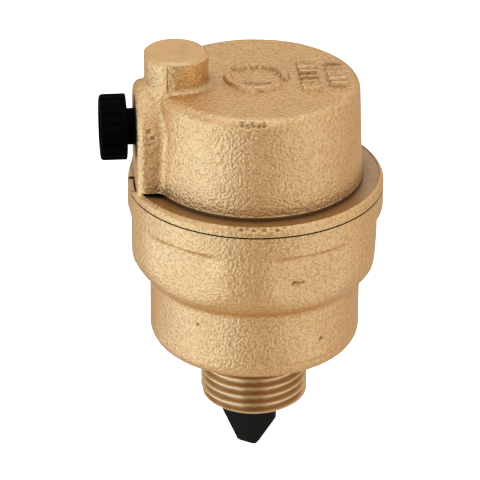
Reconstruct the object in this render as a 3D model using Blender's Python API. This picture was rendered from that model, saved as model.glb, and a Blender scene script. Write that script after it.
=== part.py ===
"""Automatic air vent with a G 1/2 inlet thread, a screwed cover and a side discharge knob.

The frame: origin at the centre of the thread's end face, +Z up along the axis of the
body, and the discharge knob on the -X side. The dimensions below are in millimetres, and
the meshes are made in metres.

Inside, a hollow float slides up and down. An arm on the float carries a sprung stem with
a rubber pad, which closes the valve seat in the cover when the float rises. The tail
below the float reaches out through the inlet thread.
"""

from math import acos, cos, pi, radians, sin

import bmesh
import bpy
from mathutils import Matrix, Vector

MM = 0.001
TURN = 2 * pi
SEGMENTS = 40          # sides of the large round pieces
SMALL_SEGMENTS = 20    # sides of the small round pieces
BOSS_SEGMENTS = 28
KNOB_SEGMENTS = 32
RING_SEGMENTS = 24
HOLE_SEGMENTS = 16
PIN_SEGMENTS = 12
FOOT_SEGMENTS = 10
GAP = 0.3              # left between pieces that touch
FIT = 0.1              # radial clearance of a pin, a seal or an insert in its seat
CUT_PAST = 10.0        # how far a cutter runs beyond what it cuts
OVERLAP = 1.0          # how far a piece runs into the one it is joined to

# Inlet thread, G 1/2
THREAD_RADIUS = 10.478
THREAD_ROOT_RADIUS = 9.32
THREAD_PITCH = 1.814
THREAD_TOP = 11.7
THREAD_ROWS_PER_TURN = 6
THREAD_END_RADIUS = 9.9      # at the lower end, growing with height until the crests are full
THREAD_FLANK = 0.75          # wave height before its crest and root are cut flat
INLET_RADIUS = 8.1

# Body
BODY_BOTTOM = 13.1
BODY_FLOOR = 15.8
BODY_TOP = 46.25
BODY_RADIUS = 20.43          # lower cylinder
BODY_BOTTOM_FILLET = 3.1
BODY_FLOOR_FILLET = 2.0
BAND_RADIUS = 24.62          # upper band, and the cover's flange
SHOULDER_RADIUS = 9.1        # arc that swells from the lower cylinder out to the band
SHOULDER_TOP = 35.3
CHAMBER_RADIUS = 17.9        # float chamber, in the body and in the cover
SOCKET_RADIUS = 21.9         # where the cover's skirt screws in
SOCKET_FLOOR = 38.6
RING_RECESS_RADIUS = 23.5
RING_RECESS_FLOOR = 44.3

# Six wrench flats cut into the band
FLAT_APOTHEM = 23.33
FLAT_TOP = 41.6
FLAT_BOTTOM = 27.0
FLAT_PHASE = 19.2            # degrees from -Y towards +X to the middle of one flat

# Cover
FLANGE_BOTTOM = BODY_TOP + GAP
FLANGE_TOP = 48.8
GROOVE_Z = 48.45             # bottom of the turned groove round the dome
GROOVE_OUTER_RADIUS = 23.52
RIM_BEVEL = ((0.9, 0.0), (0.3, 0.35), (0.0, 0.95))     # insets and drops of the flange's edge
SKIRT_RELIEF = 0.8           # height of the step from the skirt's bore to the chamber
DOME_BASE_RADIUS = 20.45
DOME_TOP_RADIUS = 19.68
DOME_TOP = 67.88
DOME_EDGE_RADIUS = 2.0
CEILING = 65.4
SKIRT_RADIUS = SOCKET_RADIUS - GAP
SKIRT_INNER_RADIUS = 18.7
SKIRT_BOTTOM = SOCKET_FLOOR + GAP

# Valve column: a boss on top of the dome, and a tube below the ceiling on the same axis
VALVE_X = -15.46
BOSS_RADIUS = 6.1
BOSS_TOP = 74.15
BOSS_CHAMFER = (0.55, 0.95)
BOSS_ROOT = DOME_TOP - 1.2
COLUMN_RADIUS = 4.6
COLUMN_BOTTOM = 51.8
STEM_BORE_RADIUS = 3.0
SEAT_POCKET_TOP = 57.1
VENT_CHAMBER_RADIUS = 2.2
VENT_CHAMBER_TOP = 71.0

# Side block with the discharge port
PORT_Z = 58.75
BLOCK_FACE_X = -23.6
BLOCK_ROOT_X = -18.6
BLOCK_HALF_WIDTH = 8.6
BLOCK_EDGE_RADIUS = 1.5
BLOCK_BOTTOM = 48.5
SPOT_FACE_RADIUS = 12.6
PORT_RADIUS = 3.75
PORT_END_X = -19.4
PASSAGE_RADIUS = 1.2
PASSAGE_END_X = -16.0

# Discharge knob, backed off from its seal
KNOB_HEAD_RADIUS = 6.35
KNOB_INNER_X = -25.15
KNOB_OUTER_X = -29.85
KNOB_NECK_RADIUS = 3.5
KNOB_THREAD_ROOT = 3.1
KNOB_THREAD_PITCH = 1.0
KNOB_THREAD_START = 0.45     # from the seal ring's groove to the first crest
KNOB_EDGE = 0.3
KNOB_END_EDGE = 0.5
KNOB_TIP_EDGE = 0.2
KNOB_HEAD_TAPER = 0.05
KNOB_THREAD_END = 0.7        # from the last crest's limit to the head
KNOB_TIP_X = -20.85          # rim of the recess that holds the seal
KNOB_SEAL_X = (-21.25, -20.6)
KNOB_SEAL_RADIUS = 2.2
KNOB_RING_X = -22.15
KNOB_RING_WIRE = 0.4
KNOB_GROOVE_DEPTH = 0.7

# Float
FLOAT_X = -1.0               # the float hangs to this side in its play
FLOAT_RADIUS = 16.2
FLOAT_BOTTOM = 18.6
FLOAT_RIM = 41.9
FLOAT_WALL = 1.1
FLOAT_BOTTOM_RADIUS = 4.0
LID_TOP = 43.5
LID_SPIGOT = 1.6
LID_EDGE = 0.4
LID_SPIGOT_WALL = 1.2
LID_SPIGOT_FIT = 0.15
FOOT_CIRCLE = 11.0
FOOT_RADIUS = 1.5
FOOT_ROOT = FLOAT_BOTTOM + 0.6

# Tail blade and the lugs that hold it
TAIL_CENTRE = (-0.98, -0.06)
TAIL_ANGLE = -34.0           # degrees of the blade's width direction from +X
TAIL_HALF_WIDTH = 5.8
TAIL_TIP_HALF_WIDTH = 1.96
TAIL_THICKNESS = 2.0
TAIL_TOP = 17.0
TAIL_TAPER_Z = -5.4
TAIL_BOTTOM = -11.95
TAIL_TIP_CORNER = 0.6
TAIL_TAPER_CORNER = (0.2, 0.3)
TAIL_TOP_CORNER = 1.5
TAIL_PLAY = 0.2              # between the blade and each lug
TAIL_PIN_STANDS = 0.25       # how far the pin stands out of each lug
LUG_BOTTOM = 11.2
LUG_HALF_WIDTH = 2.2
LUG_THICKNESS = 1.0
TAIL_PIN_Z = 13.6
TAIL_PIN_RADIUS = 0.7

# Valve arm, stem, spring and pad
ARM_THICKNESS = 0.45
ARM_HALF_WIDTH = 2.4
ARM_BASE_Z = LID_TOP + 0.15
ARM_END_Z = 45.1
ARM_STEP_X = (-8.6, -10.2)
ARM_ROOT_X = 3.2
RIVET_OFFSETS = (1.4, -4.6)
RIVET_RADIUS = 0.8
RIVET_HEAD_RADIUS = 1.5
RIVET_BOTTOM = 41.2
RIVET_HEAD_EDGE = (0.3, 0.6)
RIVET_HEAD_HEIGHT = 0.8
ARM_HOLE_PLAY = 0.15
ARM_TIP_INSET = 0.5
ARM_BEND = 0.2
STEM_RADIUS = 1.1
STEM_BOTTOM = 44.0
COLLAR_Z = (47.7, 48.2)
COLLAR_RADIUS = 2.1
HOLDER_Z = (48.9, 50.0)
HOLDER_RADIUS = 2.3
PAD_RADIUS = 1.9
PAD_Z = (49.35, 50.5)
CLIP_Z = (44.25, 44.7)
CLIP_RADIUS = 2.1
CLIP_GROOVE_DEPTH = 0.35
CLIP_GRIP = 0.25
CLIP_OPENING = 30            # degrees on each side of its gap
PAD_EDGE = 0.2
SPRING_WIRE = 0.22
SPRING_RADIUS = 1.62
SPRING_TURNS = 3

# Valve seat insert
SEAT_TIP = 54.55
SEAT_BODY_Z = (55.2, 56.95)
SEAT_RADIUS = 2.8
SEAT_TIP_RADIUS = 0.95
SEAT_ORIFICE_RADIUS = 0.45
SEAT_TIP_FLARE = 0.25
SEAT_GROOVE_DEPTH = 0.7
SEAT_RING_WIRE = 0.3

# O-ring between cover and body
COVER_RING_RADIUS = 22.57
COVER_RING_Z = 45.33
COVER_RING_WIRE = 0.8


def remove_scene_objects():
    for obj in list(bpy.data.objects):
        bpy.data.objects.remove(obj, do_unlink=True)


def material(name, color, roughness, metallic=0.0):
    made = bpy.data.materials.new(name)
    made.use_nodes = True
    shader = made.node_tree.nodes["Principled BSDF"]
    shader.inputs["Base Color"].default_value = (*color, 1.0)
    shader.inputs["Roughness"].default_value = roughness
    shader.inputs["Metallic"].default_value = metallic
    return made


def forged_brass():
    return material("forged_brass", (0.66, 0.46, 0.22), 0.42, 1.0)


def turned_brass():
    return material("turned_brass", (0.72, 0.50, 0.22), 0.22, 1.0)


def black_plastic():
    return material("black_plastic", (0.012, 0.012, 0.013), 0.45)


def float_plastic():
    return material("float_plastic", (0.03, 0.03, 0.032), 0.5)


def seal_rubber():
    return material("seal_rubber", (0.02, 0.02, 0.02), 0.7)


def stainless_steel():
    return material("stainless_steel", (0.62, 0.62, 0.60), 0.28, 1.0)


# ---------------------------------------------------------------- outlines

def arc(centre, radius, start, end, steps):
    """Points on an arc in the (radius, height) plane, angles in degrees, ends included."""
    points = []
    for i in range(steps + 1):
        angle = radians(start + (end - start) * i / steps)
        points.append((centre[0] + radius * cos(angle), centre[1] + radius * sin(angle)))
    return points


def circle(centre, radius, steps):
    return arc(centre, radius, 0, 360 * (steps - 1) / steps, steps - 1)


# ---------------------------------------------------------------- meshes

def object_of(name, mesh, finish, smooth_angle=35.0):
    mesh.materials.clear()
    mesh.materials.append(finish)
    mesh.shade_smooth()
    mesh.set_sharp_from_angle(angle=radians(smooth_angle))
    obj = bpy.data.objects.new(name, mesh)
    bpy.context.scene.collection.objects.link(obj)
    return obj


def mesh_of(name, bm):
    bmesh.ops.recalc_face_normals(bm, faces=bm.faces)
    mesh = bpy.data.meshes.new(name)
    bm.to_mesh(mesh)
    bm.free()
    return mesh


def turned(name, outline, finish, segments=SEGMENTS, place=None):
    """A turned solid from a closed (radius, height) outline. A radius of 0 is on the axis.

    place takes it from its own frame, turned about Z in millimetres, to the part's frame.
    """
    bm = bmesh.new()
    rings = []
    for radius, height in outline:
        if radius < 1e-9:
            rings.append([bm.verts.new((0.0, 0.0, height * MM))])
            continue
        ring = []
        for i in range(segments):
            angle = TURN * i / segments
            spot = (radius * cos(angle) * MM, radius * sin(angle) * MM, height * MM)
            ring.append(bm.verts.new(spot))
        rings.append(ring)
    skin(bm, rings, closed=True)
    mesh = mesh_of(name, bm)
    if place:
        mesh.transform(place)
    return object_of(name, mesh, finish)


def skin(bm, rings, closed):
    """Faces between each ring of vertices and the next; a ring of one vertex is a pole."""
    pairs = list(zip(rings, rings[1:]))
    if closed:
        pairs.append((rings[-1], rings[0]))
    for lower, upper in pairs:
        count = max(len(lower), len(upper))
        if count == 1:
            continue
        for i in range(count):
            j = (i + 1) % count
            if len(lower) == 1:
                bm.faces.new((lower[0], upper[j], upper[i]))
            elif len(upper) == 1:
                bm.faces.new((lower[i], lower[j], upper[0]))
            else:
                bm.faces.new((lower[i], lower[j], upper[j], upper[i]))


def extruded(name, outline, start, end, finish, place=None):
    """A prism: the outline in its own XY plane, extruded along Z from start to end."""
    bm = bmesh.new()
    rings = []
    for height in (start, end):
        rings.append([bm.verts.new((x * MM, y * MM, height * MM)) for x, y in outline])
    skin(bm, rings, closed=False)
    bm.faces.new(rings[0])
    bm.faces.new(rings[1])
    mesh = mesh_of(name, bm)
    if place:
        mesh.transform(place)
    return object_of(name, mesh, finish)


def moved(x, y=0.0, z=0.0):
    return Matrix.Translation(Vector((x, y, z)) * MM)


def along_minus_x(z):
    """Takes a piece turned about Z to one turned about the knob's axis, +Z towards -X."""
    return moved(0, 0, z) @ Matrix.Rotation(-pi / 2, 4, "Y")


def boolean(target, tool, operation):
    """Applies a Boolean to the target and removes the tool."""
    step = target.modifiers.new(operation.lower(), "BOOLEAN")
    step.operation = operation
    step.solver = "EXACT"
    step.object = tool
    bpy.context.view_layer.update()
    graph = bpy.context.evaluated_depsgraph_get()
    result = bpy.data.meshes.new_from_object(target.evaluated_get(graph))
    target.modifiers.remove(step)
    target.data = result
    bpy.data.objects.remove(tool, do_unlink=True)


def cut(target, tool):
    boolean(target, tool, "DIFFERENCE")


def join(target, tool):
    boolean(target, tool, "UNION")


def resharpened(obj, angle=35.0):
    obj.data.shade_smooth()
    obj.data.set_sharp_from_angle(angle=radians(angle))
    return obj


# ---------------------------------------------------------------- body

def shoulder_profile(steps):
    """The convex swelling from the lower cylinder up to the band, bottom to top."""
    centre = (BAND_RADIUS - SHOULDER_RADIUS, SHOULDER_TOP)
    start = -180 / pi * acos((BODY_RADIUS - centre[0]) / SHOULDER_RADIUS)
    return arc(centre, SHOULDER_RADIUS, start, 0, steps)


def body_outline():
    fillet_centre = (BODY_RADIUS - BODY_BOTTOM_FILLET, BODY_BOTTOM + BODY_BOTTOM_FILLET)
    floor_centre = (CHAMBER_RADIUS - BODY_FLOOR_FILLET, BODY_FLOOR + BODY_FLOOR_FILLET)
    neck = THREAD_ROOT_RADIUS - FIT
    outer = [(neck, THREAD_TOP - OVERLAP), (neck, BODY_BOTTOM)]
    outer += arc(fillet_centre, BODY_BOTTOM_FILLET, -90, 0, 4)
    outer += shoulder_profile(5)
    outer += [(BAND_RADIUS, BODY_TOP)]
    inner = [
        (RING_RECESS_RADIUS, BODY_TOP),
        (RING_RECESS_RADIUS, RING_RECESS_FLOOR),
        (SOCKET_RADIUS, RING_RECESS_FLOOR),
        (SOCKET_RADIUS, SOCKET_FLOOR),
        (CHAMBER_RADIUS, SOCKET_FLOOR),
    ]
    inner += arc(floor_centre, BODY_FLOOR_FILLET, 0, -90, 2)
    inner += [(INLET_RADIUS, BODY_FLOOR), (INLET_RADIUS, THREAD_TOP - OVERLAP)]
    return outer + inner


def thread_sleeve(name, finish):
    """The threaded spigot: its outside follows a helix of the thread's pitch."""
    bm = bmesh.new()
    middle = (THREAD_RADIUS + THREAD_ROOT_RADIUS) / 2
    depth = THREAD_RADIUS - THREAD_ROOT_RADIUS
    row_height = THREAD_PITCH / THREAD_ROWS_PER_TURN
    rows = int(THREAD_TOP / row_height)
    rings = []
    for row in range(rows + 1):
        z = row * row_height
        ring = []
        for i in range(SEGMENTS):
            angle = TURN * i / SEGMENTS
            wave = cos(TURN * z / THREAD_PITCH - angle)
            flattened = max(-0.5, min(0.5, THREAD_FLANK * wave))
            radius = min(middle + depth * flattened, THREAD_END_RADIUS + z)
            if row == rows:
                radius = THREAD_ROOT_RADIUS
            ring.append(bm.verts.new((radius * cos(angle) * MM, radius * sin(angle) * MM, z * MM)))
        rings.append(ring)
    for height in (rows * row_height, 0.0):
        ring = []
        for i in range(SEGMENTS):
            angle = TURN * i / SEGMENTS
            spot = (INLET_RADIUS * cos(angle) * MM, INLET_RADIUS * sin(angle) * MM, height * MM)
            ring.append(bm.verts.new(spot))
        rings.append(ring)
    skin(bm, rings, closed=True)
    return object_of(name, mesh_of(name, bm), finish)


def wrench_flat_cutter(finish):
    """A hexagonal ring: what it takes off the band leaves six flats below a ledge."""
    bm = bmesh.new()
    rings = []
    inner_corner = FLAT_APOTHEM / cos(pi / 6)
    for corner_radius, height in (
        (inner_corner, FLAT_BOTTOM - OVERLAP),
        (inner_corner, FLAT_TOP),
        (inner_corner + CUT_PAST, FLAT_TOP),
        (inner_corner + CUT_PAST, FLAT_BOTTOM - OVERLAP),
    ):
        ring = []
        for side in range(6):
            angle = radians(FLAT_PHASE - 90 + 30 + 60 * side)
            spot = (corner_radius * cos(angle) * MM, corner_radius * sin(angle) * MM, height * MM)
            ring.append(bm.verts.new(spot))
        rings.append(ring)
    skin(bm, rings, closed=True)
    return object_of("wrench_flat_cutter", mesh_of("wrench_flat_cutter", bm), finish)


def make_body(finish):
    body = turned("body", body_outline(), finish)
    cut(body, wrench_flat_cutter(finish))
    join(body, thread_sleeve("thread_sleeve", finish))
    return resharpened(body)


# ---------------------------------------------------------------- cover

def cover_outline():
    """The dome, its flange and the skirt below, as one turned shell."""
    edge_centre = (DOME_TOP_RADIUS - DOME_EDGE_RADIUS, DOME_TOP - DOME_EDGE_RADIUS)
    outline = [(0.0, DOME_TOP)]
    outline += arc(edge_centre, DOME_EDGE_RADIUS, 90, 0, 4)
    outline += [
        (DOME_BASE_RADIUS, GROOVE_Z),
        (GROOVE_OUTER_RADIUS, GROOVE_Z + FIT),
        *((BAND_RADIUS - inset, FLANGE_TOP - drop) for inset, drop in RIM_BEVEL),
        (BAND_RADIUS, FLANGE_BOTTOM),
        (SKIRT_RADIUS, FLANGE_BOTTOM),
        (SKIRT_RADIUS, SKIRT_BOTTOM),
        (SKIRT_INNER_RADIUS, SKIRT_BOTTOM),
        (SKIRT_INNER_RADIUS, FLANGE_BOTTOM),
        (CHAMBER_RADIUS, FLANGE_BOTTOM + SKIRT_RELIEF),
        (CHAMBER_RADIUS, CEILING - 2),
        (CHAMBER_RADIUS - 2, CEILING),
        (0.0, CEILING),
    ]
    return outline


def block_outline():
    """The side block seen along the knob's axis: straight sides under a round top.

    Its first coordinate is the part's Z, and its second is the part's Y.
    """
    sides = arc((PORT_Z, 0), BLOCK_HALF_WIDTH, -90, 90, 12)
    return [(BLOCK_BOTTOM, -BLOCK_HALF_WIDTH), *sides, (BLOCK_BOTTOM, BLOCK_HALF_WIDTH)]


def block_ring(bm, x, inset):
    """The block's outline at one X, drawn in from its sides and top by inset."""
    shrink = (BLOCK_HALF_WIDTH - inset) / BLOCK_HALF_WIDTH
    ring = []
    for z, y in block_outline():
        level = PORT_Z + (z - PORT_Z) * shrink if z > PORT_Z else z
        ring.append(bm.verts.new((x * MM, y * shrink * MM, level * MM)))
    return ring


def side_block(finish):
    """The block from inside the dome's wall out to its machined face, edges rounded."""
    bm = bmesh.new()
    rings = [block_ring(bm, BLOCK_ROOT_X, 0.0)]
    for x, inset in arc((0, 0), BLOCK_EDGE_RADIUS, 0, 90, 3):
        depth = BLOCK_FACE_X + BLOCK_EDGE_RADIUS - inset
        rings.append(block_ring(bm, depth, BLOCK_EDGE_RADIUS - x))
    skin(bm, rings, closed=False)
    bm.faces.new(rings[0])
    bm.faces.new(rings[-1])
    return object_of("side_block", mesh_of("side_block", bm), finish)


def boss_outline():
    inset, drop = BOSS_CHAMFER
    return [
        (0.0, BOSS_TOP),
        (BOSS_RADIUS - inset, BOSS_TOP),
        (BOSS_RADIUS, BOSS_TOP - drop),
        (BOSS_RADIUS, BOSS_ROOT),
        (0.0, BOSS_ROOT),
    ]


def column_outline():
    return [
        (0.0, CEILING + OVERLAP),
        (COLUMN_RADIUS, CEILING + 1),
        (COLUMN_RADIUS, COLUMN_BOTTOM),
        (0.0, COLUMN_BOTTOM),
    ]


def dome_envelope(finish):
    """A plug as wide as the dome's outside wall, to trim what pokes out of it."""
    outline = [
        (0.0, DOME_TOP - OVERLAP),
        (DOME_TOP_RADIUS - 0.5, DOME_TOP - OVERLAP),
        (DOME_BASE_RADIUS - 0.5, COLUMN_BOTTOM - OVERLAP),
        (0.0, COLUMN_BOTTOM - OVERLAP),
    ]
    return turned("dome_envelope", outline, finish)


def valve_bores_outline():
    """The stem's bore, the pocket of the seat and the vent chamber above it."""
    return [
        (0.0, VENT_CHAMBER_TOP),
        (VENT_CHAMBER_RADIUS, VENT_CHAMBER_TOP - 1.0),
        (VENT_CHAMBER_RADIUS, SEAT_POCKET_TOP),
        (STEM_BORE_RADIUS, SEAT_POCKET_TOP),
        (STEM_BORE_RADIUS, COLUMN_BOTTOM - OVERLAP),
        (0.0, COLUMN_BOTTOM - OVERLAP),
    ]


def port_outline():
    """The knob's port and the passage behind it, as distances along -X."""
    outside = -BLOCK_FACE_X + CUT_PAST
    return [
        (0.0, -PASSAGE_END_X),
        (0.0, outside),
        (PORT_RADIUS, outside),
        (PORT_RADIUS, -PORT_END_X),
        (PASSAGE_RADIUS, -PORT_END_X),
        (PASSAGE_RADIUS, -PASSAGE_END_X),
    ]


def spot_face_outline():
    """The cutter that faced the block, and took a slice off the flange's rim."""
    return [
        (0.0, -BLOCK_FACE_X),
        (SPOT_FACE_RADIUS, -BLOCK_FACE_X),
        (SPOT_FACE_RADIUS, -BLOCK_FACE_X + CUT_PAST),
        (0.0, -BLOCK_FACE_X + CUT_PAST),
    ]


def make_cover(finish):
    cover = turned("cover", cover_outline(), finish)
    column = turned("column", column_outline(), finish, SMALL_SEGMENTS, moved(VALVE_X))
    boolean(column, dome_envelope(finish), "INTERSECT")
    join(cover, column)
    boss_place = moved(VALVE_X) @ Matrix.Rotation(pi / SMALL_SEGMENTS, 4, "Z")
    join(cover, side_block(finish))
    join(cover, turned("boss", boss_outline(), finish, BOSS_SEGMENTS, boss_place))
    knob_axis = along_minus_x(PORT_Z)
    bores = turned("valve_bores", valve_bores_outline(), finish, SMALL_SEGMENTS, moved(VALVE_X))
    cut(cover, bores)
    cut(cover, turned("port", port_outline(), finish, SMALL_SEGMENTS, knob_axis))
    cut(cover, turned("spot_face", spot_face_outline(), finish, SEGMENTS, knob_axis))
    return resharpened(cover)


# ---------------------------------------------------------------- seals and valve seat

def make_ring(name, radius, wire, place, finish, segments, sides):
    return turned(name, circle((radius, 0.0), wire, sides), finish, segments, place)


def make_valve_seat(finish):
    bottom, top = SEAT_BODY_Z
    groove = (bottom + top) / 2
    outline = [
        (SEAT_ORIFICE_RADIUS, SEAT_TIP),
        (SEAT_TIP_RADIUS, SEAT_TIP),
        (SEAT_TIP_RADIUS + SEAT_TIP_FLARE, bottom),
        (SEAT_RADIUS, bottom),
        (SEAT_RADIUS, groove - SEAT_RING_WIRE - FIT),
        (SEAT_RADIUS - SEAT_GROOVE_DEPTH, groove - SEAT_RING_WIRE - FIT),
        (SEAT_RADIUS - SEAT_GROOVE_DEPTH, groove + SEAT_RING_WIRE + FIT),
        (SEAT_RADIUS, groove + SEAT_RING_WIRE + FIT),
        (SEAT_RADIUS, top),
        (SEAT_ORIFICE_RADIUS, top),
    ]
    return turned("valve_seat", outline, finish, SMALL_SEGMENTS, moved(VALVE_X))


# ---------------------------------------------------------------- knob

def knob_outline():
    """Distances along -X from the part's axis: tip, seal groove, thread, neck, head."""
    tip = -KNOB_TIP_X
    head = -KNOB_INNER_X
    end = -KNOB_OUTER_X
    ring = -KNOB_RING_X
    seat = KNOB_THREAD_ROOT + FIT
    groove = KNOB_RING_WIRE + FIT
    recess = -KNOB_SEAL_X[0] + FIT
    outline = [
        (0.0, recess),
        (KNOB_SEAL_RADIUS + FIT, recess),
        (KNOB_SEAL_RADIUS + FIT, tip),
        (seat - KNOB_TIP_EDGE, tip),
        (seat, tip + KNOB_TIP_EDGE),
        (seat, ring - groove),
        (seat - KNOB_GROOVE_DEPTH, ring - groove),
        (seat - KNOB_GROOVE_DEPTH, ring + groove),
        (seat, ring + groove),
    ]
    crest = ring + groove + KNOB_THREAD_START
    while crest < head - KNOB_THREAD_END:
        outline += [(KNOB_NECK_RADIUS, crest), (KNOB_THREAD_ROOT, crest + KNOB_THREAD_PITCH / 2)]
        crest += KNOB_THREAD_PITCH
    outline += [
        (KNOB_NECK_RADIUS, head - KNOB_EDGE),
        (KNOB_NECK_RADIUS, head),
        (KNOB_HEAD_RADIUS - KNOB_EDGE, head),
        (KNOB_HEAD_RADIUS, head + KNOB_EDGE),
        (KNOB_HEAD_RADIUS - KNOB_HEAD_TAPER, end - KNOB_END_EDGE),
        (KNOB_HEAD_RADIUS - KNOB_END_EDGE, end),
        (0.0, end),
    ]
    return outline


def make_knob_seal(finish):
    """The rubber disc on the knob's tip, which closes the passage when it is screwed in."""
    back, front = (-x for x in KNOB_SEAL_X)
    outline = [(0.0, front), (0.0, back), (KNOB_SEAL_RADIUS, back), (KNOB_SEAL_RADIUS, front)]
    return turned("knob_seal", outline, finish, SMALL_SEGMENTS, along_minus_x(PORT_Z))


# ---------------------------------------------------------------- float

def about_float_axis(z=0.0):
    return moved(FLOAT_X, 0, z)


def tail_place():
    """Takes the blade's own frame, X its width and Y its thickness, to the part's frame."""
    return moved(*TAIL_CENTRE) @ Matrix.Rotation(radians(TAIL_ANGLE), 4, "Z")


def tail_upright():
    """Takes an outline in X and Z, extruded along its own -Y, to the blade's place."""
    return tail_place() @ Matrix.Rotation(pi / 2, 4, "X")


def float_cup_outline():
    outer_centre = (FLOAT_RADIUS - FLOAT_BOTTOM_RADIUS, FLOAT_BOTTOM + FLOAT_BOTTOM_RADIUS)
    outline = [(0.0, FLOAT_BOTTOM)]
    outline += arc(outer_centre, FLOAT_BOTTOM_RADIUS, -90, 0, 4)
    outline += [(FLOAT_RADIUS, FLOAT_RIM), (FLOAT_RADIUS - FLOAT_WALL, FLOAT_RIM)]
    outline += arc(outer_centre, FLOAT_BOTTOM_RADIUS - FLOAT_WALL, 0, -90, 3)
    outline += [(0.0, FLOAT_BOTTOM + FLOAT_WALL)]
    return outline


def tail_pin_bore(finish, radius):
    place = tail_place() @ moved(0, 0, TAIL_PIN_Z) @ Matrix.Rotation(pi / 2, 4, "X")
    reach = TAIL_HALF_WIDTH + 0.2
    outline = [(0.0, -reach), (radius, -reach), (radius, reach), (0.0, reach)]
    return turned("pin_bore", outline, finish, PIN_SEGMENTS, place)


def make_float_cup(finish):
    cup = turned("float_cup", float_cup_outline(), finish, SEGMENTS, about_float_axis())
    foot_outline = [
        (0.0, BODY_FLOOR + GAP),
        (FOOT_RADIUS, BODY_FLOOR + GAP),
        (FOOT_RADIUS, FOOT_ROOT),
        (0.0, FOOT_ROOT),
    ]
    for i in range(3):
        angle = TURN * i / 3
        place = about_float_axis() @ moved(FOOT_CIRCLE * cos(angle), FOOT_CIRCLE * sin(angle))
        join(cup, turned("foot", foot_outline, finish, FOOT_SEGMENTS, place))
    nearest = TAIL_THICKNESS / 2 + TAIL_PLAY
    lug = [
        (-LUG_HALF_WIDTH, LUG_BOTTOM),
        (LUG_HALF_WIDTH, LUG_BOTTOM),
        (LUG_HALF_WIDTH, FOOT_ROOT),
        (-LUG_HALF_WIDTH, FOOT_ROOT),
    ]
    for start in (nearest, -nearest - LUG_THICKNESS):
        join(cup, extruded("lug", lug, start, start + LUG_THICKNESS, finish, tail_upright()))
    cut(cup, tail_pin_bore(finish, TAIL_PIN_RADIUS + FIT))
    return resharpened(cup)


def make_float_lid(finish):
    spigot_radius = FLOAT_RADIUS - FLOAT_WALL - LID_SPIGOT_FIT
    underside = FLOAT_RIM + GAP
    outline = [
        (0.0, underside - LID_SPIGOT),
        (spigot_radius - LID_SPIGOT_WALL, underside - LID_SPIGOT),
        (spigot_radius, underside - LID_SPIGOT + LID_EDGE),
        (spigot_radius, underside),
        (FLOAT_RADIUS, underside),
        (FLOAT_RADIUS, LID_TOP - LID_EDGE),
        (FLOAT_RADIUS - LID_EDGE, LID_TOP),
        (0.0, LID_TOP),
    ]
    lid = turned("float_lid", outline, finish, SEGMENTS, about_float_axis())
    low, high, radius = RIVET_BOTTOM - GAP, LID_TOP + CUT_PAST, RIVET_RADIUS + FIT
    hole = [(0.0, low), (radius, low), (radius, high), (0.0, high)]
    for offset in RIVET_OFFSETS:
        cut(lid, turned("rivet_hole", hole, finish, PIN_SEGMENTS, moved(FLOAT_X + offset)))
    return resharpened(lid)


def make_float_tail(finish):
    """A blade of full width down to its taper, with a hole for its pin near the top."""
    corner = TAIL_TIP_CORNER
    inset, rise = TAIL_TAPER_CORNER
    slope = (TAIL_HALF_WIDTH - TAIL_TIP_HALF_WIDTH) / (TAIL_TAPER_Z - TAIL_BOTTOM)
    tip_corner = TAIL_TIP_HALF_WIDTH + corner * slope
    right = [
        (TAIL_TIP_HALF_WIDTH - corner, TAIL_BOTTOM),
        (tip_corner, TAIL_BOTTOM + corner),
        (TAIL_HALF_WIDTH - inset, TAIL_TAPER_Z - rise),
        (TAIL_HALF_WIDTH, TAIL_TAPER_Z + rise),
        (TAIL_HALF_WIDTH, TAIL_TOP - TAIL_TOP_CORNER),
        (TAIL_HALF_WIDTH - TAIL_TOP_CORNER, TAIL_TOP),
    ]
    outline = right + [(-x, z) for x, z in reversed(right)]
    half = TAIL_THICKNESS / 2
    tail = extruded("float_tail", outline, -half, half, finish, tail_upright())
    cut(tail, tail_pin_bore(finish, TAIL_PIN_RADIUS + FIT))
    return resharpened(tail)


def make_tail_pin(finish):
    length = TAIL_THICKNESS / 2 + TAIL_PLAY + LUG_THICKNESS + TAIL_PIN_STANDS
    outline = [(0.0, -length), (TAIL_PIN_RADIUS, -length), (TAIL_PIN_RADIUS, length), (0.0, length)]
    place = tail_place() @ moved(0, 0, TAIL_PIN_Z) @ Matrix.Rotation(pi / 2, 4, "X")
    return turned("tail_pin", outline, finish, PIN_SEGMENTS, place)


# ---------------------------------------------------------------- valve arm and stem

def make_valve_arm(finish):
    """A stepped strip, riveted flat on the lid, with a round end that guides the stem."""
    start_x, end_x = ARM_STEP_X
    low, high = ARM_BASE_Z, ARM_END_Z
    tip_x = VALVE_X - ARM_HALF_WIDTH + ARM_TIP_INSET
    side = [
        (ARM_ROOT_X, low),
        (ARM_ROOT_X, low + ARM_THICKNESS),
        (start_x - ARM_BEND, low + ARM_THICKNESS),
        (end_x - ARM_BEND, high + ARM_THICKNESS),
        (tip_x, high + ARM_THICKNESS),
        (tip_x, high),
        (end_x + ARM_BEND, high),
        (start_x + ARM_BEND, low),
    ]
    upright = Matrix.Rotation(pi / 2, 4, "X")
    arm = extruded("valve_arm", side, -ARM_HALF_WIDTH, ARM_HALF_WIDTH, finish, upright)
    low, high = ARM_BASE_Z - CUT_PAST, ARM_BASE_Z + CUT_PAST
    holes = [(VALVE_X, STEM_RADIUS + ARM_HOLE_PLAY)]
    holes += [(FLOAT_X + offset, RIVET_RADIUS + FIT) for offset in RIVET_OFFSETS]
    for x, radius in holes:
        outline = [(0.0, low), (radius, low), (radius, high), (0.0, high)]
        cut(arm, turned("arm_hole", outline, finish, HOLE_SEGMENTS, moved(x)))
    return resharpened(arm)


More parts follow.
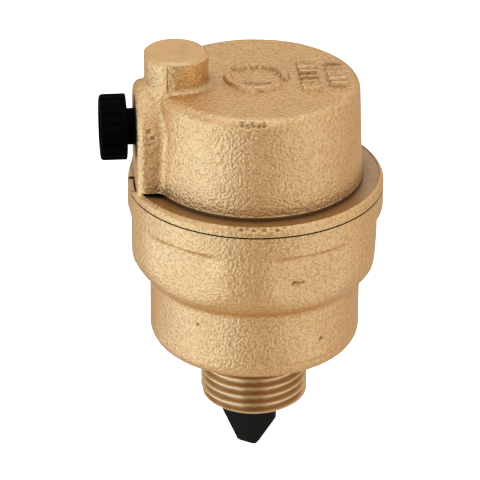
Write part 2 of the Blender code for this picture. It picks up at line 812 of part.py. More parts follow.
def make_arm_rivet(number, offset, finish):
    head = ARM_BASE_Z + ARM_THICKNESS + FIT
    inset, rise = RIVET_HEAD_EDGE
    outline = [
        (0.0, RIVET_BOTTOM),
        (RIVET_RADIUS, RIVET_BOTTOM),
        (RIVET_RADIUS, head),
        (RIVET_HEAD_RADIUS, head),
        (RIVET_HEAD_RADIUS - inset, head + rise),
        (0.0, head + RIVET_HEAD_HEIGHT),
    ]
    return turned(f"arm_rivet_{number}", outline, finish, HOLE_SEGMENTS, moved(FLOAT_X + offset))


def make_obturator_stem(finish):
    """A pin with a groove for its clip, a collar over the spring and a cup for the pad."""
    outline = [
        (0.0, STEM_BOTTOM),
        (STEM_RADIUS, STEM_BOTTOM),
        (STEM_RADIUS, CLIP_Z[0] - FIT),
        (STEM_RADIUS - CLIP_GROOVE_DEPTH, CLIP_Z[0] - FIT),
        (STEM_RADIUS - CLIP_GROOVE_DEPTH, CLIP_Z[1] + FIT),
        (STEM_RADIUS, CLIP_Z[1] + FIT),
        (STEM_RADIUS, COLLAR_Z[0]),
        (COLLAR_RADIUS, COLLAR_Z[0]),
        (COLLAR_RADIUS, COLLAR_Z[1]),
        (STEM_RADIUS, COLLAR_Z[1]),
        (STEM_RADIUS, HOLDER_Z[0] - GAP),
        (HOLDER_RADIUS, HOLDER_Z[0]),
        (HOLDER_RADIUS, HOLDER_Z[1]),
        (PAD_RADIUS + FIT, HOLDER_Z[1]),
        (PAD_RADIUS + FIT, PAD_Z[0] - FIT),
        (0.0, PAD_Z[0] - FIT),
    ]
    return turned("obturator_stem", outline, finish, SMALL_SEGMENTS, moved(VALVE_X))


def make_obturator_pad(finish):
    outline = [
        (0.0, PAD_Z[0]),
        (PAD_RADIUS, PAD_Z[0]),
        (PAD_RADIUS, PAD_Z[1] - PAD_EDGE),
        (PAD_RADIUS - PAD_EDGE, PAD_Z[1]),
        (0.0, PAD_Z[1]),
    ]
    return turned("obturator_pad", outline, finish, SMALL_SEGMENTS, moved(VALVE_X))


def make_stem_clip(finish):
    """An open retaining clip: a flat ring with a gap, in the stem's groove."""
    inner = STEM_RADIUS - CLIP_GRIP
    start, end = CLIP_OPENING, 360 - CLIP_OPENING
    outline = arc((0, 0), CLIP_RADIUS, start, end, 12) + arc((0, 0), inner, end, start, 8)
    return extruded("stem_clip", outline, *CLIP_Z, finish, moved(VALVE_X))


def make_stem_spring(finish):
    """A coil spring between the arm and the stem's collar, swept along its helix."""
    bottom = ARM_END_Z + ARM_THICKNESS + SPRING_WIRE + FIT
    top = COLLAR_Z[0] - SPRING_WIRE - FIT
    sides = 6
    steps = SPRING_TURNS * 14
    pitch = (top - bottom) / SPRING_TURNS
    lean = pitch / (TURN * SPRING_RADIUS)
    bm = bmesh.new()
    rings = []
    for i in range(steps + 1):
        angle = TURN * SPRING_TURNS * i / steps
        z = bottom + (top - bottom) * i / steps
        outward = Vector((cos(angle), sin(angle), 0.0))
        forward = Vector((-sin(angle), cos(angle), lean)).normalized()
        upward = outward.cross(forward)
        centre = outward * SPRING_RADIUS + Vector((0.0, 0.0, z))
        ring = []
        for side in range(sides):
            turn = TURN * side / sides
            spot = centre + (outward * cos(turn) + upward * sin(turn)) * SPRING_WIRE
            ring.append(bm.verts.new(spot * MM))
        rings.append(ring)
    skin(bm, rings, closed=False)
    bm.faces.new(rings[0])
    bm.faces.new(rings[-1])
    mesh = mesh_of("stem_spring", bm)
    mesh.transform(moved(VALVE_X))
    return object_of("stem_spring", mesh, finish, 60.0)


# ---------------------------------------------------------------- assembly

def axis_empty(name, location):
    """An empty on a moving piece's joint axis, which carries its pieces."""
    empty = bpy.data.objects.new(name, None)
    empty.location = Vector(location) * MM
    empty.empty_display_size = 0.01
    bpy.context.scene.collection.objects.link(empty)
    return empty


def carry(parent, *children):
    """Parents the pieces to the empty and leaves them where they are."""
    bpy.context.view_layer.update()
    for child in children:
        child.parent = parent
        child.matrix_parent_inverse = parent.matrix_world.inverted()


def make_fixed_pieces():
    brass = forged_brass()
    rubber = seal_rubber()
    make_body(brass)
    make_cover(brass)
    make_valve_seat(turned_brass())
    ring_place = moved(0, 0, COVER_RING_Z)
    make_ring("cover_o_ring", COVER_RING_RADIUS, COVER_RING_WIRE, ring_place, rubber, SEGMENTS, 8)
    groove = sum(SEAT_BODY_Z) / 2
    seat_ring = SEAT_RADIUS - SEAT_GROOVE_DEPTH + SEAT_RING_WIRE + FIT
    place = moved(VALVE_X, 0, groove)
    make_ring("valve_seat_o_ring", seat_ring, SEAT_RING_WIRE, place, rubber, SMALL_SEGMENTS, 6)


def make_knob_pieces():
    plastic = black_plastic()
    knob_axis = along_minus_x(PORT_Z)
    knob = turned("knob", knob_outline(), plastic, KNOB_SEGMENTS, knob_axis)
    ring_radius = KNOB_THREAD_ROOT + FIT - KNOB_GROOVE_DEPTH + KNOB_RING_WIRE + FIT
    ring_place = knob_axis @ moved(0, 0, -KNOB_RING_X)
    rubber = seal_rubber()
    ring = make_ring("knob_o_ring", ring_radius, KNOB_RING_WIRE, ring_place, rubber, RING_SEGMENTS, 6)
    seal = make_knob_seal(rubber)
    carry(axis_empty("knob_axis", (KNOB_INNER_X, 0, PORT_Z)), knob, ring, seal)


def make_float_pieces():
    plastic = float_plastic()
    steel = stainless_steel()
    on_float = [
        make_float_cup(plastic),
        make_float_lid(plastic),
        make_float_tail(black_plastic()),
        make_tail_pin(steel),
        make_valve_arm(steel),
    ]
    for number, offset in enumerate(RIVET_OFFSETS, start=1):
        on_float.append(make_arm_rivet(number, offset, steel))
    on_stem = [
        make_obturator_stem(turned_brass()),
        make_obturator_pad(seal_rubber()),
        make_stem_clip(steel),
        make_stem_spring(steel),
    ]
    float_axis = axis_empty("float_axis", (FLOAT_X, 0, FLOAT_BOTTOM))
    stem_axis = axis_empty("stem_axis", (VALVE_X, 0, COLLAR_Z[0]))
    carry(float_axis, stem_axis, *on_float)
    carry(stem_axis, *on_stem)


def main():
    remove_scene_objects()
    make_fixed_pieces()
    make_knob_pieces()
    make_float_pieces()


main()
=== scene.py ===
"""The looks of the automatic air vent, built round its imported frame.

The body and the cover are made as the real ones are: a forging with soft edges and a
blasted grain, which is then turned, bored and faced. Dimensions are in millimetres, and
the meshes are in metres.
"""

from math import cos, pi, radians, sin, sqrt

import bpy
import numpy as np
from mathutils import Matrix, Vector, noise


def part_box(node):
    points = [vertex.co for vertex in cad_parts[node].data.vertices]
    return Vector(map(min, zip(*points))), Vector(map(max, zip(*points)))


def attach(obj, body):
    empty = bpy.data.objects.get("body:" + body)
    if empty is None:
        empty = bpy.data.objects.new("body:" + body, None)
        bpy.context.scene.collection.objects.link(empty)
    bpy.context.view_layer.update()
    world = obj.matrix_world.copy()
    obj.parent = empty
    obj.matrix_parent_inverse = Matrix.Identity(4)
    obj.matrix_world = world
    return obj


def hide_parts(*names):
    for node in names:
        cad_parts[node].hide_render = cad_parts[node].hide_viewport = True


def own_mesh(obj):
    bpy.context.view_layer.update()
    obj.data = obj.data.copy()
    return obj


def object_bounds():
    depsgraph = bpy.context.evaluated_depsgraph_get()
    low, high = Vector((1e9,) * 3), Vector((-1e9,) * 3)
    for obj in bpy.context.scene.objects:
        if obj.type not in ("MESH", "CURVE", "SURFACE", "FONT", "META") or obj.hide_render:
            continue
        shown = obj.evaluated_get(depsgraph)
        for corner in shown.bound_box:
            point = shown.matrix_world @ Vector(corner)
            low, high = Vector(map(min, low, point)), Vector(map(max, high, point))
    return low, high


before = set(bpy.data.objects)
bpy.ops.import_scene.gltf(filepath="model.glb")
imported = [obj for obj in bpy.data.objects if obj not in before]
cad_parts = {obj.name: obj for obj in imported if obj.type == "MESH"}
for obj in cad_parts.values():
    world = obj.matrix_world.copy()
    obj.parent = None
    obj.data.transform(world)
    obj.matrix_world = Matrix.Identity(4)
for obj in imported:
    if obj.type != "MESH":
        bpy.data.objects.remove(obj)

MM = 0.001
TURN = 2 * pi
ROUND = 128                  # sides of a turned piece
GRID_STEP = 0.25             # spacing of the grid that the forgings are meshed on
GRID_MARGIN = 1.0            # how far that grid runs beyond the forging
OVERRUN = 3.0                # how far a facing cutter runs past what it cuts
BORE_OVERRUN = 1.0           # how far a bore's cutter runs past its open end
OVERLAP = 1.0                # how far a piece runs into the one it is joined to
STOCK = 1.0                  # metal that a forging has beyond a face to be turned

cad_low, cad_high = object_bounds()
body_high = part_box("body")[1] / MM
cover_low, cover_high = (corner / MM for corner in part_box("cover"))
knob_low, knob_high = (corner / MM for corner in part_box("knob"))

# Inlet thread
THREAD_RADIUS = 10.478
THREAD_ROOT_RADIUS = 9.32
THREAD_PITCH = 1.814
THREAD_TOP = 11.7
THREAD_END_RADIUS = 9.9      # of the chamfer at its start
THREAD_END_SLOPE = 0.9
THREAD_RUNOUT = 0.9          # height over which the last turn dies out
THREAD_FLATTENING = 1.4      # above 1, crest and root have a flat
THREAD_ROWS_PER_TURN = 24
THREAD_SIDES = 192
THREAD_OVERLAP = 1.5         # how far its core runs into the body
INLET_RADIUS = 8.1

# Body
BAND_RADIUS = body_high.x
BODY_TOP = body_high.z
BODY_BOTTOM = 13.1
BODY_FLOOR = 15.8
BODY_RADIUS = 20.43
BODY_BOTTOM_FILLET = 3.1
BODY_FLOOR_FILLET = 2.0
SHOULDER_RADIUS = 9.1
SHOULDER_TOP = 35.3
CHAMBER_RADIUS = 17.9
SOCKET_RADIUS = 21.9
SOCKET_FLOOR = 38.6
RING_RECESS_RADIUS = 23.5
RING_RECESS_FLOOR = 44.3
FLAT_APOTHEM = 23.33
FLAT_TOP = 41.6
FLAT_PHASE = 19.2            # degrees from -Y towards +X to the middle of one flat
FLAT_LEDGE_BLEND = 1.0
FLAT_EDGE_BLEND = 0.8
BAND_FILLET = 0.9
TOP_BLEND = 0.2
RIDGE_ANGLES = (13.0, 35.0)  # a low ridge that the forging die left
RIDGE_Z = 17.2
RIDGE_RADIUS = 0.55
RIDGE_SINK = 0.3             # how deep its middle lies in the body's side
RIDGE_TAPER = 0.4
RIDGE_FILLET = 0.6

# Cover
FLANGE_BOTTOM = BODY_TOP + 0.3
FLANGE_TOP = 48.45
FLANGE_EDGE_RADIUS = 1.3
FLANGE_FILLET = 0.5
GROOVE_Z = 48.1
GROOVE_OUTER_RADIUS = 23.7
GROOVE_RISE = 0.1            # from the dome's foot to the outer wall
GROOVE_FLARE = 0.3           # how much wider it is at its mouth
DOME_BASE_RADIUS = 20.45
DOME_TOP_RADIUS = 19.68
DOME_TOP = 67.88
DOME_EDGE_RADIUS = 1.9
CEILING = 65.4
CEILING_CHAMFER = 2.0
SKIRT_RADIUS = 21.6
SKIRT_INNER_RADIUS = 18.7
SKIRT_BOTTOM = cover_low.z
SKIRT_STEP = 0.8
SKIRT_STOCK = 2.0
SKIRT_OVERLAP = 0.5
TRIM_REACH = 2.0             # of the cut that faces the cover's underside, past the band
TRIM_RISE = 5.0              # and above the boss
VALVE_X = -15.46
BOSS_RADIUS = 6.1
BOSS_TOP = cover_high.z
BOSS_CHAMFER = (0.55, 0.95)  # inset at the top and depth
BOSS_CHAMFER_END = (0.45, 0.05)
BOSS_SHIFT = 0.25            # of the forged boss from the valve's axis, towards +X
BOSS_STOCK = 0.4
BOSS_EDGE_RADIUS = 0.5
BOSS_FILLET = 1.3
BOSS_ROOT = CEILING - 4
BOSS_GRID_MARGIN = 1.5
FACING_REACH = 2.0
PORT_Z = (knob_low.z + knob_high.z) / 2
BLOCK_FACE_X = -23.2
BLOCK_HALF_WIDTH = 8.6
BLOCK_CROWN = 0.5            # how much higher than a half circle the block's top is
BLOCK_EDGE_RADIUS = 1.7
BLOCK_STOCK = 0.15
BLOCK_FILLET = 1.1
BLOCK_BOTTOM = 48.65
BLOCK_FOOT_HALF = 5.9        # half width of the square plug below the block
BLOCK_FOOT_OVERLAP = 0.5
BLOCK_FOOT_STOCK = 0.1
PARTING_ANGLE = -17.6        # where the forging dies met on the boss
PARTING_STEP = 0.28
SPOT_FACE_RADIUS = 12.6
PORT_RADIUS = 3.75
PORT_CHAMFER = 0.4
PORT_OVERRUN = 8.0
PORT_END_X = -19.4
PASSAGE_RADIUS = 1.2
PASSAGE_END_X = -16.0
COLUMN_RADIUS = 4.6
COLUMN_BOTTOM = 51.8
COLUMN_TRIM_INSET = 0.5      # from the dome's outer surface
COLUMN_TRIM_DROP = 1.0
STEM_BORE_RADIUS = 3.0
SEAT_POCKET_TOP = 57.1
VENT_CHAMBER_RADIUS = 2.2
VENT_CHAMBER_TOP = 71.0
VENT_CHAMBER_CONE = 1.0

# Raised marks on the dome: a ring with an arrowhead, and two rows of plain bars
MARK_HEIGHT = 0.8
MARK_EDGE = 0.36
MARK_BAND = 0.25             # how far from the dome's top a point may lie to be raised
RING_MARK = (4.7, 6.1)
RING_GAP_HALF = 1.5
RING_GAP_NORMAL = (0.5, 0.87)
ARROW_MARK = (3.0, 2.6)      # half length and half width
BAR_ROWS = ((9.9, 6, 2.3), (15.2, 5, 2.3))      # x of a row, its bars, their spacing
BAR_HALF_LENGTH = 1.75
BAR_HALF_WIDTH = 0.5

# Knob
KNOB_HEAD_RADIUS = 6.35
KNOB_INNER_X = -24.8
KNOB_OUTER_X = -29.85
KNOB_NECK_RADIUS = 3.5
KNOB_THREAD_ROOT = 3.1
KNOB_TIP_X = -20.85
KNOB_RECESS_X = -21.35
KNOB_RECESS_RADIUS = 2.3
KNOB_RING_X = -22.15
KNOB_SEAT_RADIUS = KNOB_THREAD_ROOT + 0.1
KNOB_TIP_EDGE = 0.2
KNOB_GROOVE_HALF = 0.5
KNOB_GROOVE_DEPTH = 0.7
KNOB_NECK_START = 0.9        # from the ring's middle
KNOB_EDGE_RADIUS = 0.7
KNOB_INNER_EDGE_RADIUS = 0.3
KNOB_DISH_RADIUS = 4.4       # the shallow dish in the head's end
KNOB_DISH_EDGE = 0.2
KNOB_DISH_FLOOR_RADIUS = 4.1
KNOB_DISH_DEPTH = 0.45
KNOB_FLUTES = 20
FLUTE_DEPTH = 0.32
FLUTE_FOOT_RADIUS = 5.4
FLUTE_FOOT_HEIGHT = 0.25
FLUTE_FADE = 0.5

# Float's tail
TAIL_CENTRE = (-0.98, -0.06)
TAIL_ANGLE = -34.0
TAIL_HALF_WIDTH = 5.8
TAIL_TIP_HALF_WIDTH = 1.96
TAIL_THICKNESS = 2.0
TAIL_TOP = 17.0
TAIL_TAPER_Z = -5.4
TAIL_BOTTOM = -11.95
TAIL_TIP_CORNER = 0.6
TAIL_TOP_CORNER = 1.5
TAIL_TOP_SHOULDER = 0.45
TAIL_BEND_INSETS = (0.3, 0.07)
TAIL_BEND = 0.45             # half height of the rounding where the taper starts
TAIL_EDGE_RADIUS = 0.28
TAIL_PIN_Z = 13.6
TAIL_PIN_RADIUS = 0.7
TAIL_PIN_FIT = 0.1

# Valve spring, between the arm and the stem's collar
SPRING_Z = (45.87, 47.38)     # height of the wire's middle at its two ends
SPRING_RADIUS = 1.62
SPRING_WIRE = 0.22
SPRING_TURNS = 3
SPRING_STEPS = 32            # a turn
SPRING_SIDES = 12

# Grain of the blasted forging
PIT_DEPTH = 0.8
PEEL_SIZE = 0.58
PEEL_DEPTH = 0.024
SWELL_SIZE = 6.0
SWELL_DEPTH = 0.05
RELAXATIONS = 5
PAINTED_SHADE_REACH = 3.8          # how near another surface must be for painted shade to darken the brass, in hollows
PAINTED_CREVICE_SHADE_REACH = 0.9          # and how near, for painted shade in narrow crevices

# Camera
TARGET_Z = 33.33
CAMERA_DISTANCE = 600.0
CAMERA_ELEVATION = 27.53
CAMERA_AZIMUTH = -6.0
CAMERA_ROLL = 0.517
CAMERA_LENS = 231.6
CAMERA_SHIFT = -0.0313

# Studio: azimuths in degrees from the camera's own, levels as the world's strength
LEFT_BOX = (-150.0, -24.0)
LEFT_FADE = ((-128.0, 0.30), (-84.0, 0.93))
RIGHT_BOX = (25.0, 160.0)
RIGHT_FADE = ((60.0, 0.60), (125.0, 0.24))
BOX_SOFTNESS = 9.0
FILL_LEVEL = 0.34
SKY_LEVEL = 0.735
ZENITH_LEVEL = 1.12
GROUND_LEVEL = 0.64
FLOOR_REACH = 6.0            # metres, as the next three
FLOOR_DROP = 0.06
LAMP_SIZE = 1.6
LAMP_HEIGHT = 1.5
LAMP_POWER = 34.0            # watts


# ---------------------------------------------------------------- node helpers

class Nodes:
    """A short way to write a node tree."""

    def __init__(self, tree):
        self.tree = tree

    def add(self, kind, **settings):
        node = self.tree.nodes.new(kind)
        for name, value in settings.items():
            setattr(node, name, value)
        return node

    def feed(self, socket, value):
        if isinstance(value, bpy.types.NodeSocket):
            self.tree.links.new(value, socket)
        else:
            socket.default_value = value

    def math(self, operation, *values):
        node = self.add("ShaderNodeMath", operation=operation)
        for socket, value in zip(node.inputs, values):
            self.feed(socket, value)
        return node.outputs[0]

    def ramp(self, value, start, end, low=0.0, high=1.0):
        """low below start, high above end, and a smooth step between them."""
        node = self.add("ShaderNodeMapRange", interpolation_type="SMOOTHSTEP")
        self.feed(node.inputs["Value"], value)
        for name, number in (
            ("From Min", start), ("From Max", end), ("To Min", low), ("To Max", high)
        ):
            node.inputs[name].default_value = number
        return node.outputs["Result"]

    def mix(self, share, first, second):
        node = self.add("ShaderNodeMix", data_type="RGBA")
        self.feed(node.inputs["Factor"], share)
        self.feed(node.inputs[6], first)
        self.feed(node.inputs[7], second)
        return node.outputs[2]

    def noise(self, vector, size, detail=2.0, roughness=0.5):
        """Noise with features of about size millimetres."""
        node = self.add("ShaderNodeTexNoise")
        self.feed(node.inputs["Vector"], vector)
        node.inputs["Scale"].default_value = 1 / (size * MM)
        node.inputs["Detail"].default_value = detail
        node.inputs["Roughness"].default_value = roughness
        return node.outputs["Fac"]

    def bump(self, height, depth):
        """Relief of depth millimetres from a height that runs from 0 to 1."""
        node = self.add("ShaderNodeBump")
        node.inputs["Distance"].default_value = depth * MM
        self.feed(node.inputs["Height"], height)
        return node.outputs["Normal"]


def new_material(name, metallic, roughness, color):
    made = bpy.data.materials.new(name)
    made.use_nodes = True
    shader = made.node_tree.nodes["Principled BSDF"]
    shader.inputs["Metallic"].default_value = metallic
    shader.inputs["Roughness"].default_value = roughness
    shader.inputs["Base Color"].default_value = (*color, 1.0)
    return made, Nodes(made.node_tree), shader


def rgb(*color):
    return (*color, 1.0)


# ---------------------------------------------------------------- materials

def with_painted_shade(nodes, tone, strength):
    """The tone with painted shade: darker and browner in corners and crevices, where other surfaces
    are near.
    """
    open_share = nodes.add("ShaderNodeAmbientOcclusion", samples=8)
    open_share.inputs["Distance"].default_value = PAINTED_SHADE_REACH * MM
    painted_shade_share = nodes.ramp(open_share.outputs["AO"], 0.30, 0.95, 1.0, 0.0)
    near = nodes.add("ShaderNodeAmbientOcclusion", samples=8)
    near.inputs["Distance"].default_value = PAINTED_CREVICE_SHADE_REACH * MM
    painted_shade_share = nodes.math("ADD", painted_shade_share, nodes.ramp(near.outputs["AO"], 0.45, 0.86, 0.6, 0.0))
    painted_shade_share = nodes.math("MINIMUM", painted_shade_share, 1.0)
    # Painted shade: the tone is mixed towards dark brown by how shut in the point is.
    return nodes.mix(nodes.math("MULTIPLY", painted_shade_share, strength), tone, rgb(0.21, 0.14, 0.08))


def forged_brass():
    """Shot-blasted hot forging: a fine pebbled grain with dark pits, painted shade in the grain's
    hollows, and painted shade in corners and crevices.
    """
    made, nodes, shader = new_material("blasted_brass", 1.0, 0.42, (0.86, 0.57, 0.28))
    place = nodes.add("ShaderNodeTexCoord").outputs["Object"]
    clouds = nodes.noise(place, 9.0, 3.0)
    grain = nodes.noise(place, 0.52, 2.0, 0.5)
    speck = nodes.noise(place, 1.1, 2.0)
    light, deep = rgb(0.90, 0.60, 0.290), rgb(0.86, 0.56, 0.262)
    tone = nodes.mix(nodes.ramp(clouds, 0.35, 0.7), light, deep)
    # Painted shade: darker and browner in the hollows of the grain's bump.
    grain_hollow_shade = nodes.ramp(grain, 0.36, 0.54, 1.0, 0.0)
    tone = nodes.mix(nodes.math("MULTIPLY", grain_hollow_shade, 0.60), tone, rgb(0.60, 0.36, 0.155))
    pit = nodes.ramp(speck, 0.20, 0.27, 1.0, 0.0)
    tone = nodes.mix(nodes.math("MULTIPLY", pit, 0.5), tone, rgb(0.34, 0.19, 0.08))
    # Painted shade in corners and crevices.
    nodes.feed(shader.inputs["Base Color"], with_painted_shade(nodes, tone, 0.85))
    rough = nodes.math("ADD", 0.31, nodes.math("MULTIPLY", clouds, 0.10))
    nodes.feed(shader.inputs["Roughness"], rough)
    nodes.feed(shader.inputs["Normal"], nodes.bump(grain, 0.27))
    return made


def turned_brass(name, centre, across, color, roughness=0.3, painted_shade_strength=0.5):
    """Brass with the fine rings that a cutting tool leaves round an axis through centre, and
    painted shade in its corners and crevices.

    across names the two coordinates that lie across that axis, and the last argument sets how
    strong the painted shade is.
    """
    made, nodes, shader = new_material(name, 1.0, roughness, color)
    place = nodes.add("ShaderNodeTexCoord").outputs["Object"]
    parts = nodes.add("ShaderNodeSeparateXYZ")
    nodes.feed(parts.inputs[0], place)
    squares = []
    for axis in across:
        offset = nodes.math("SUBTRACT", parts.outputs[axis], centre["XYZ".index(axis)] * MM)
        squares.append(nodes.math("MULTIPLY", offset, offset))
    radius = nodes.math("SQRT", nodes.math("ADD", *squares))
    along = next(axis for axis in "XYZ" if axis not in across)
    rings = nodes.add("ShaderNodeCombineXYZ")
    nodes.feed(rings.inputs[0], radius)
    nodes.feed(rings.inputs[1], parts.outputs[along])
    lines = nodes.noise(rings.outputs[0], 0.11, 2.0)
    stain = nodes.noise(place, 2.2, 3.0)
    dark = tuple(0.88 * c for c in color)
    tone = nodes.mix(nodes.ramp(stain, 0.40, 0.75), rgb(*color), rgb(*dark))
    # Painted shade in corners and crevices.
    nodes.feed(shader.inputs["Base Color"], with_painted_shade(nodes, tone, painted_shade_strength))
    rough = nodes.math("ADD", roughness - 0.05, nodes.math("MULTIPLY", stain, 0.12))
    nodes.feed(shader.inputs["Roughness"], rough)
    nodes.feed(shader.inputs["Normal"], nodes.bump(lines, 0.012))
    return made


def moulded(name, color, roughness, grain_size, grain_depth, specular=0.5):
    """Moulded plastic or rubber with a faint texture and uneven gloss."""
    made, nodes, shader = new_material(name, 0.0, roughness, color)
    shader.inputs["Specular IOR Level"].default_value = specular
    place = nodes.add("ShaderNodeTexCoord").outputs["Object"]
    clouds = nodes.noise(place, 3.0, 3.0)
    grain = nodes.noise(place, grain_size, 2.0)
    lighter = tuple(1.7 * c for c in color)
    nodes.feed(shader.inputs["Base Color"], nodes.mix(clouds, rgb(*color), rgb(*lighter)))
    rough = nodes.math("ADD", roughness - 0.08, nodes.math("MULTIPLY", clouds, 0.16))
    nodes.feed(shader.inputs["Roughness"], rough)
    nodes.feed(shader.inputs["Normal"], nodes.bump(grain, grain_depth))
    return made


def drawn_steel():
    """Stainless strip and wire: bright, with fine drawing lines."""
    made, nodes, shader = new_material("stainless_steel", 1.0, 0.28, (0.62, 0.62, 0.60))
    place = nodes.add("ShaderNodeTexCoord").outputs["Object"]
    stretch = nodes.add("ShaderNodeMapping")
    nodes.feed(stretch.inputs["Vector"], place)
    stretch.inputs["Scale"].default_value = (0.06, 1.0, 1.0)
    lines = nodes.noise(stretch.outputs[0], 0.08, 3.0)
    tone = nodes.mix(nodes.ramp(lines, 0.3, 0.7), rgb(0.50, 0.50, 0.49), rgb(0.66, 0.66, 0.64))
    nodes.feed(shader.inputs["Base Color"], tone)
    nodes.feed(shader.inputs["Roughness"], nodes.ramp(lines, 0.2, 0.8, 0.22, 0.36))
    nodes.feed(shader.inputs["Normal"], nodes.bump(lines, 0.006))
    return made


# ---------------------------------------------------------------- meshes

def arc(centre, radius, start, end, steps):
    """Points on an arc in the (radius, height) plane, angles in degrees, ends included."""
    angles = [radians(start + (end - start) * i / steps) for i in range(steps + 1)]
    return [(centre[0] + radius * cos(a), centre[1] + radius * sin(a)) for a in angles]


def object_from(name, points, faces, finish, sharp=30.0):
    """A shaded object from points in millimetres."""
    mesh = bpy.data.meshes.new(name)
    mesh.from_pydata([], [], [])
    points = np.asarray(points, np.float32) * MM
    mesh.vertices.add(len(points))
    mesh.vertices.foreach_set("co", points.ravel())
    counts = np.array([len(face) for face in faces], np.int32)
    corners = np.concatenate([np.asarray(face, np.int32) for face in faces])
    mesh.loops.add(len(corners))
    mesh.loops.foreach_set("vertex_index", corners)
    mesh.polygons.add(len(counts))
    starts = np.cumsum(counts) - counts
    mesh.polygons.foreach_set("loop_start", starts.astype(np.int32))
    mesh.update(calc_edges=True)
    mesh.validate()
    mesh.materials.append(finish)
    obj = bpy.data.objects.new(name, mesh)
    bpy.context.scene.collection.objects.link(obj)
    return shaded(obj, sharp)


def shaded(obj, sharp=30.0):
    obj.data.shade_smooth()
    obj.data.set_sharp_from_angle(angle=radians(sharp))
    return obj


def skin(rings, closed):
    """Faces between rings of vertex numbers. A ring of one number is a pole."""
    faces = []
    pairs = list(zip(rings, rings[1:]))
    if closed:
        pairs.append((rings[-1], rings[0]))
    for lower, upper in pairs:
        count = max(len(lower), len(upper))
        if count == 1:
            continue
        for i in range(count):
            j = (i + 1) % count
            if len(lower) == 1:
                faces.append((lower[0], upper[j], upper[i]))
            elif len(upper) == 1:
                faces.append((lower[i], lower[j], upper[0]))
            else:
                faces.append((lower[i], lower[j], upper[j], upper[i]))
    return faces


def turned(name, outline, finish, place=None, sides=ROUND, sharp=30.0):
    """A turned solid from a closed (radius, height) outline, given outside upwards."""
    points, rings = [], []
    for radius, height in outline:
        count = 1 if radius < 1e-9 else sides
        rings.append(list(range(len(points), len(points) + count)))
        for i in range(count):
            angle = TURN * i / sides
            points.append((radius * cos(angle), radius * sin(angle), height))
    obj = object_from(name, points, skin(rings, closed=True), finish, sharp)
    if place:
        obj.data.transform(place)
    return obj


def moved(x=0.0, y=0.0, z=0.0):
    return Matrix.Translation(Vector((x, y, z)) * MM)


def along_minus_x(z):
    """Takes a piece turned about Z to the knob's axis, its +Z towards -X."""
    return moved(z=z) @ Matrix.Rotation(-pi / 2, 4, "Y")


def boolean(target, tool, operation, solver="MANIFOLD"):
    """Applies a Boolean to the target, keeps the tool's material on the cut, drops the tool."""
    step = target.modifiers.new(operation.lower(), "BOOLEAN")
    step.operation = operation
    step.solver = solver
    step.object = tool
    step.material_mode = "TRANSFER"
    bpy.context.view_layer.update()
    graph = bpy.context.evaluated_depsgraph_get()
    result = bpy.data.meshes.new_from_object(target.evaluated_get(graph))
    target.modifiers.remove(step)
    target.data = result
    bpy.data.objects.remove(tool, do_unlink=True)


def cut(target, tool):
    boolean(target, tool, "DIFFERENCE")


def join(target, tool):
    boolean(target, tool, "UNION")


# ---------------------------------------------------------------- forgings from distance fields

def soft_min(a, b, width):
    """The smaller of two distances, blended over width, which fillets the corner."""
    share = np.maximum(width - np.abs(a - b), 0) / width
    return np.minimum(a, b) - share * share * width / 4


def soft_max(a, b, width):
    return -soft_min(-a, -b, width)


def rounded(a, b, radius):
    """The distance to what lies inside both a and b, with their edge rounded."""
    outside = np.hypot(np.maximum(a + radius, 0), np.maximum(b + radius, 0))
    return np.minimum(np.maximum(a, b) + radius, 0) + outside - radius


def surface_net(field, low, high, step):
    """Points and quads of a field's zero surface, one point in each grid cell it crosses."""
    counts = [int(np.ceil((b - a) / step)) + 1 for a, b in zip(low, high)]
    axes = [a + step * np.arange(n) for a, n in zip(low, counts)]
    values = field(axes[0][:, None, None], axes[1][None, :, None], axes[2][None, None, :])
    values = np.broadcast_to(values, counts).astype(np.float32)
    inside = values < 0
    total = np.zeros([n - 1 for n in counts], np.int8)
    corners = [(i, j, k) for i in (0, 1) for j in (0, 1) for k in (0, 1)]
    for i, j, k in corners:
        total += inside[i:counts[0] - 1 + i, j:counts[1] - 1 + j, k:counts[2] - 1 + k]
    active = (total > 0) & (total < 8)
    number = np.full(active.shape, -1, np.int32)
    number[active] = np.arange(active.sum())
    cells = np.argwhere(active)
    points = np.array(low) + step * (cells + 0.5)
    quads = []
    for axis in range(3):
        across = [a for a in range(3) if a != axis]
        near = [slice(1, -1)] * 3
        far = list(near)
        near[axis] = slice(0, -1)
        far[axis] = slice(1, None)
        first, second = inside[tuple(near)], inside[tuple(far)]
        for outward in (True, False):
            edge = np.argwhere((first & ~second) if outward else (second & ~first))
            edge[:, across] += 1
            ring = []
            for u, v in ((-1, -1), (0, -1), (0, 0), (-1, 0)):
                cell = edge.copy()
                cell[:, across[0]] += u
                cell[:, across[1]] += v
                ring.append(number[cell[:, 0], cell[:, 1], cell[:, 2]])
            if outward == (axis == 1):
                ring.reverse()
            quads.append(np.stack(ring, axis=1))
    return points, np.concatenate(quads)


def gradient(field, points, reach=0.02):
    slopes = []
    for axis in range(3):
        shift = np.zeros(3)
        shift[axis] = reach
        ahead = field(*(points + shift).T)
        behind = field(*(points - shift).T)
        slopes.append((ahead - behind) / (2 * reach))
    return np.stack(slopes, axis=1)


def relaxed(points, quads):
    """Each point halfway to the middle of its neighbours, which evens out the grid."""
    total = np.zeros_like(points)
    count = np.zeros(len(points))
    for a, b in ((0, 1), (1, 2), (2, 3), (3, 0)):
        np.add.at(total, quads[:, a], points[quads[:, b]])
        np.add.at(total, quads[:, b], points[quads[:, a]])
        np.add.at(count, quads[:, a], 1)
        np.add.at(count, quads[:, b], 1)
    return (points + total / count[:, None]) / 2


def grain_of(points):
    """Height of the blasted surface at each point, from the peel and a slow swell."""
    heights = np.empty(len(points))
    for i, point in enumerate(points):
        spot = Vector(point)
        peel = noise.noise(spot / PEEL_SIZE)
        swell = noise.noise(spot / SWELL_SIZE)
        heights[i] = PEEL_DEPTH * peel + SWELL_DEPTH * swell
    return heights


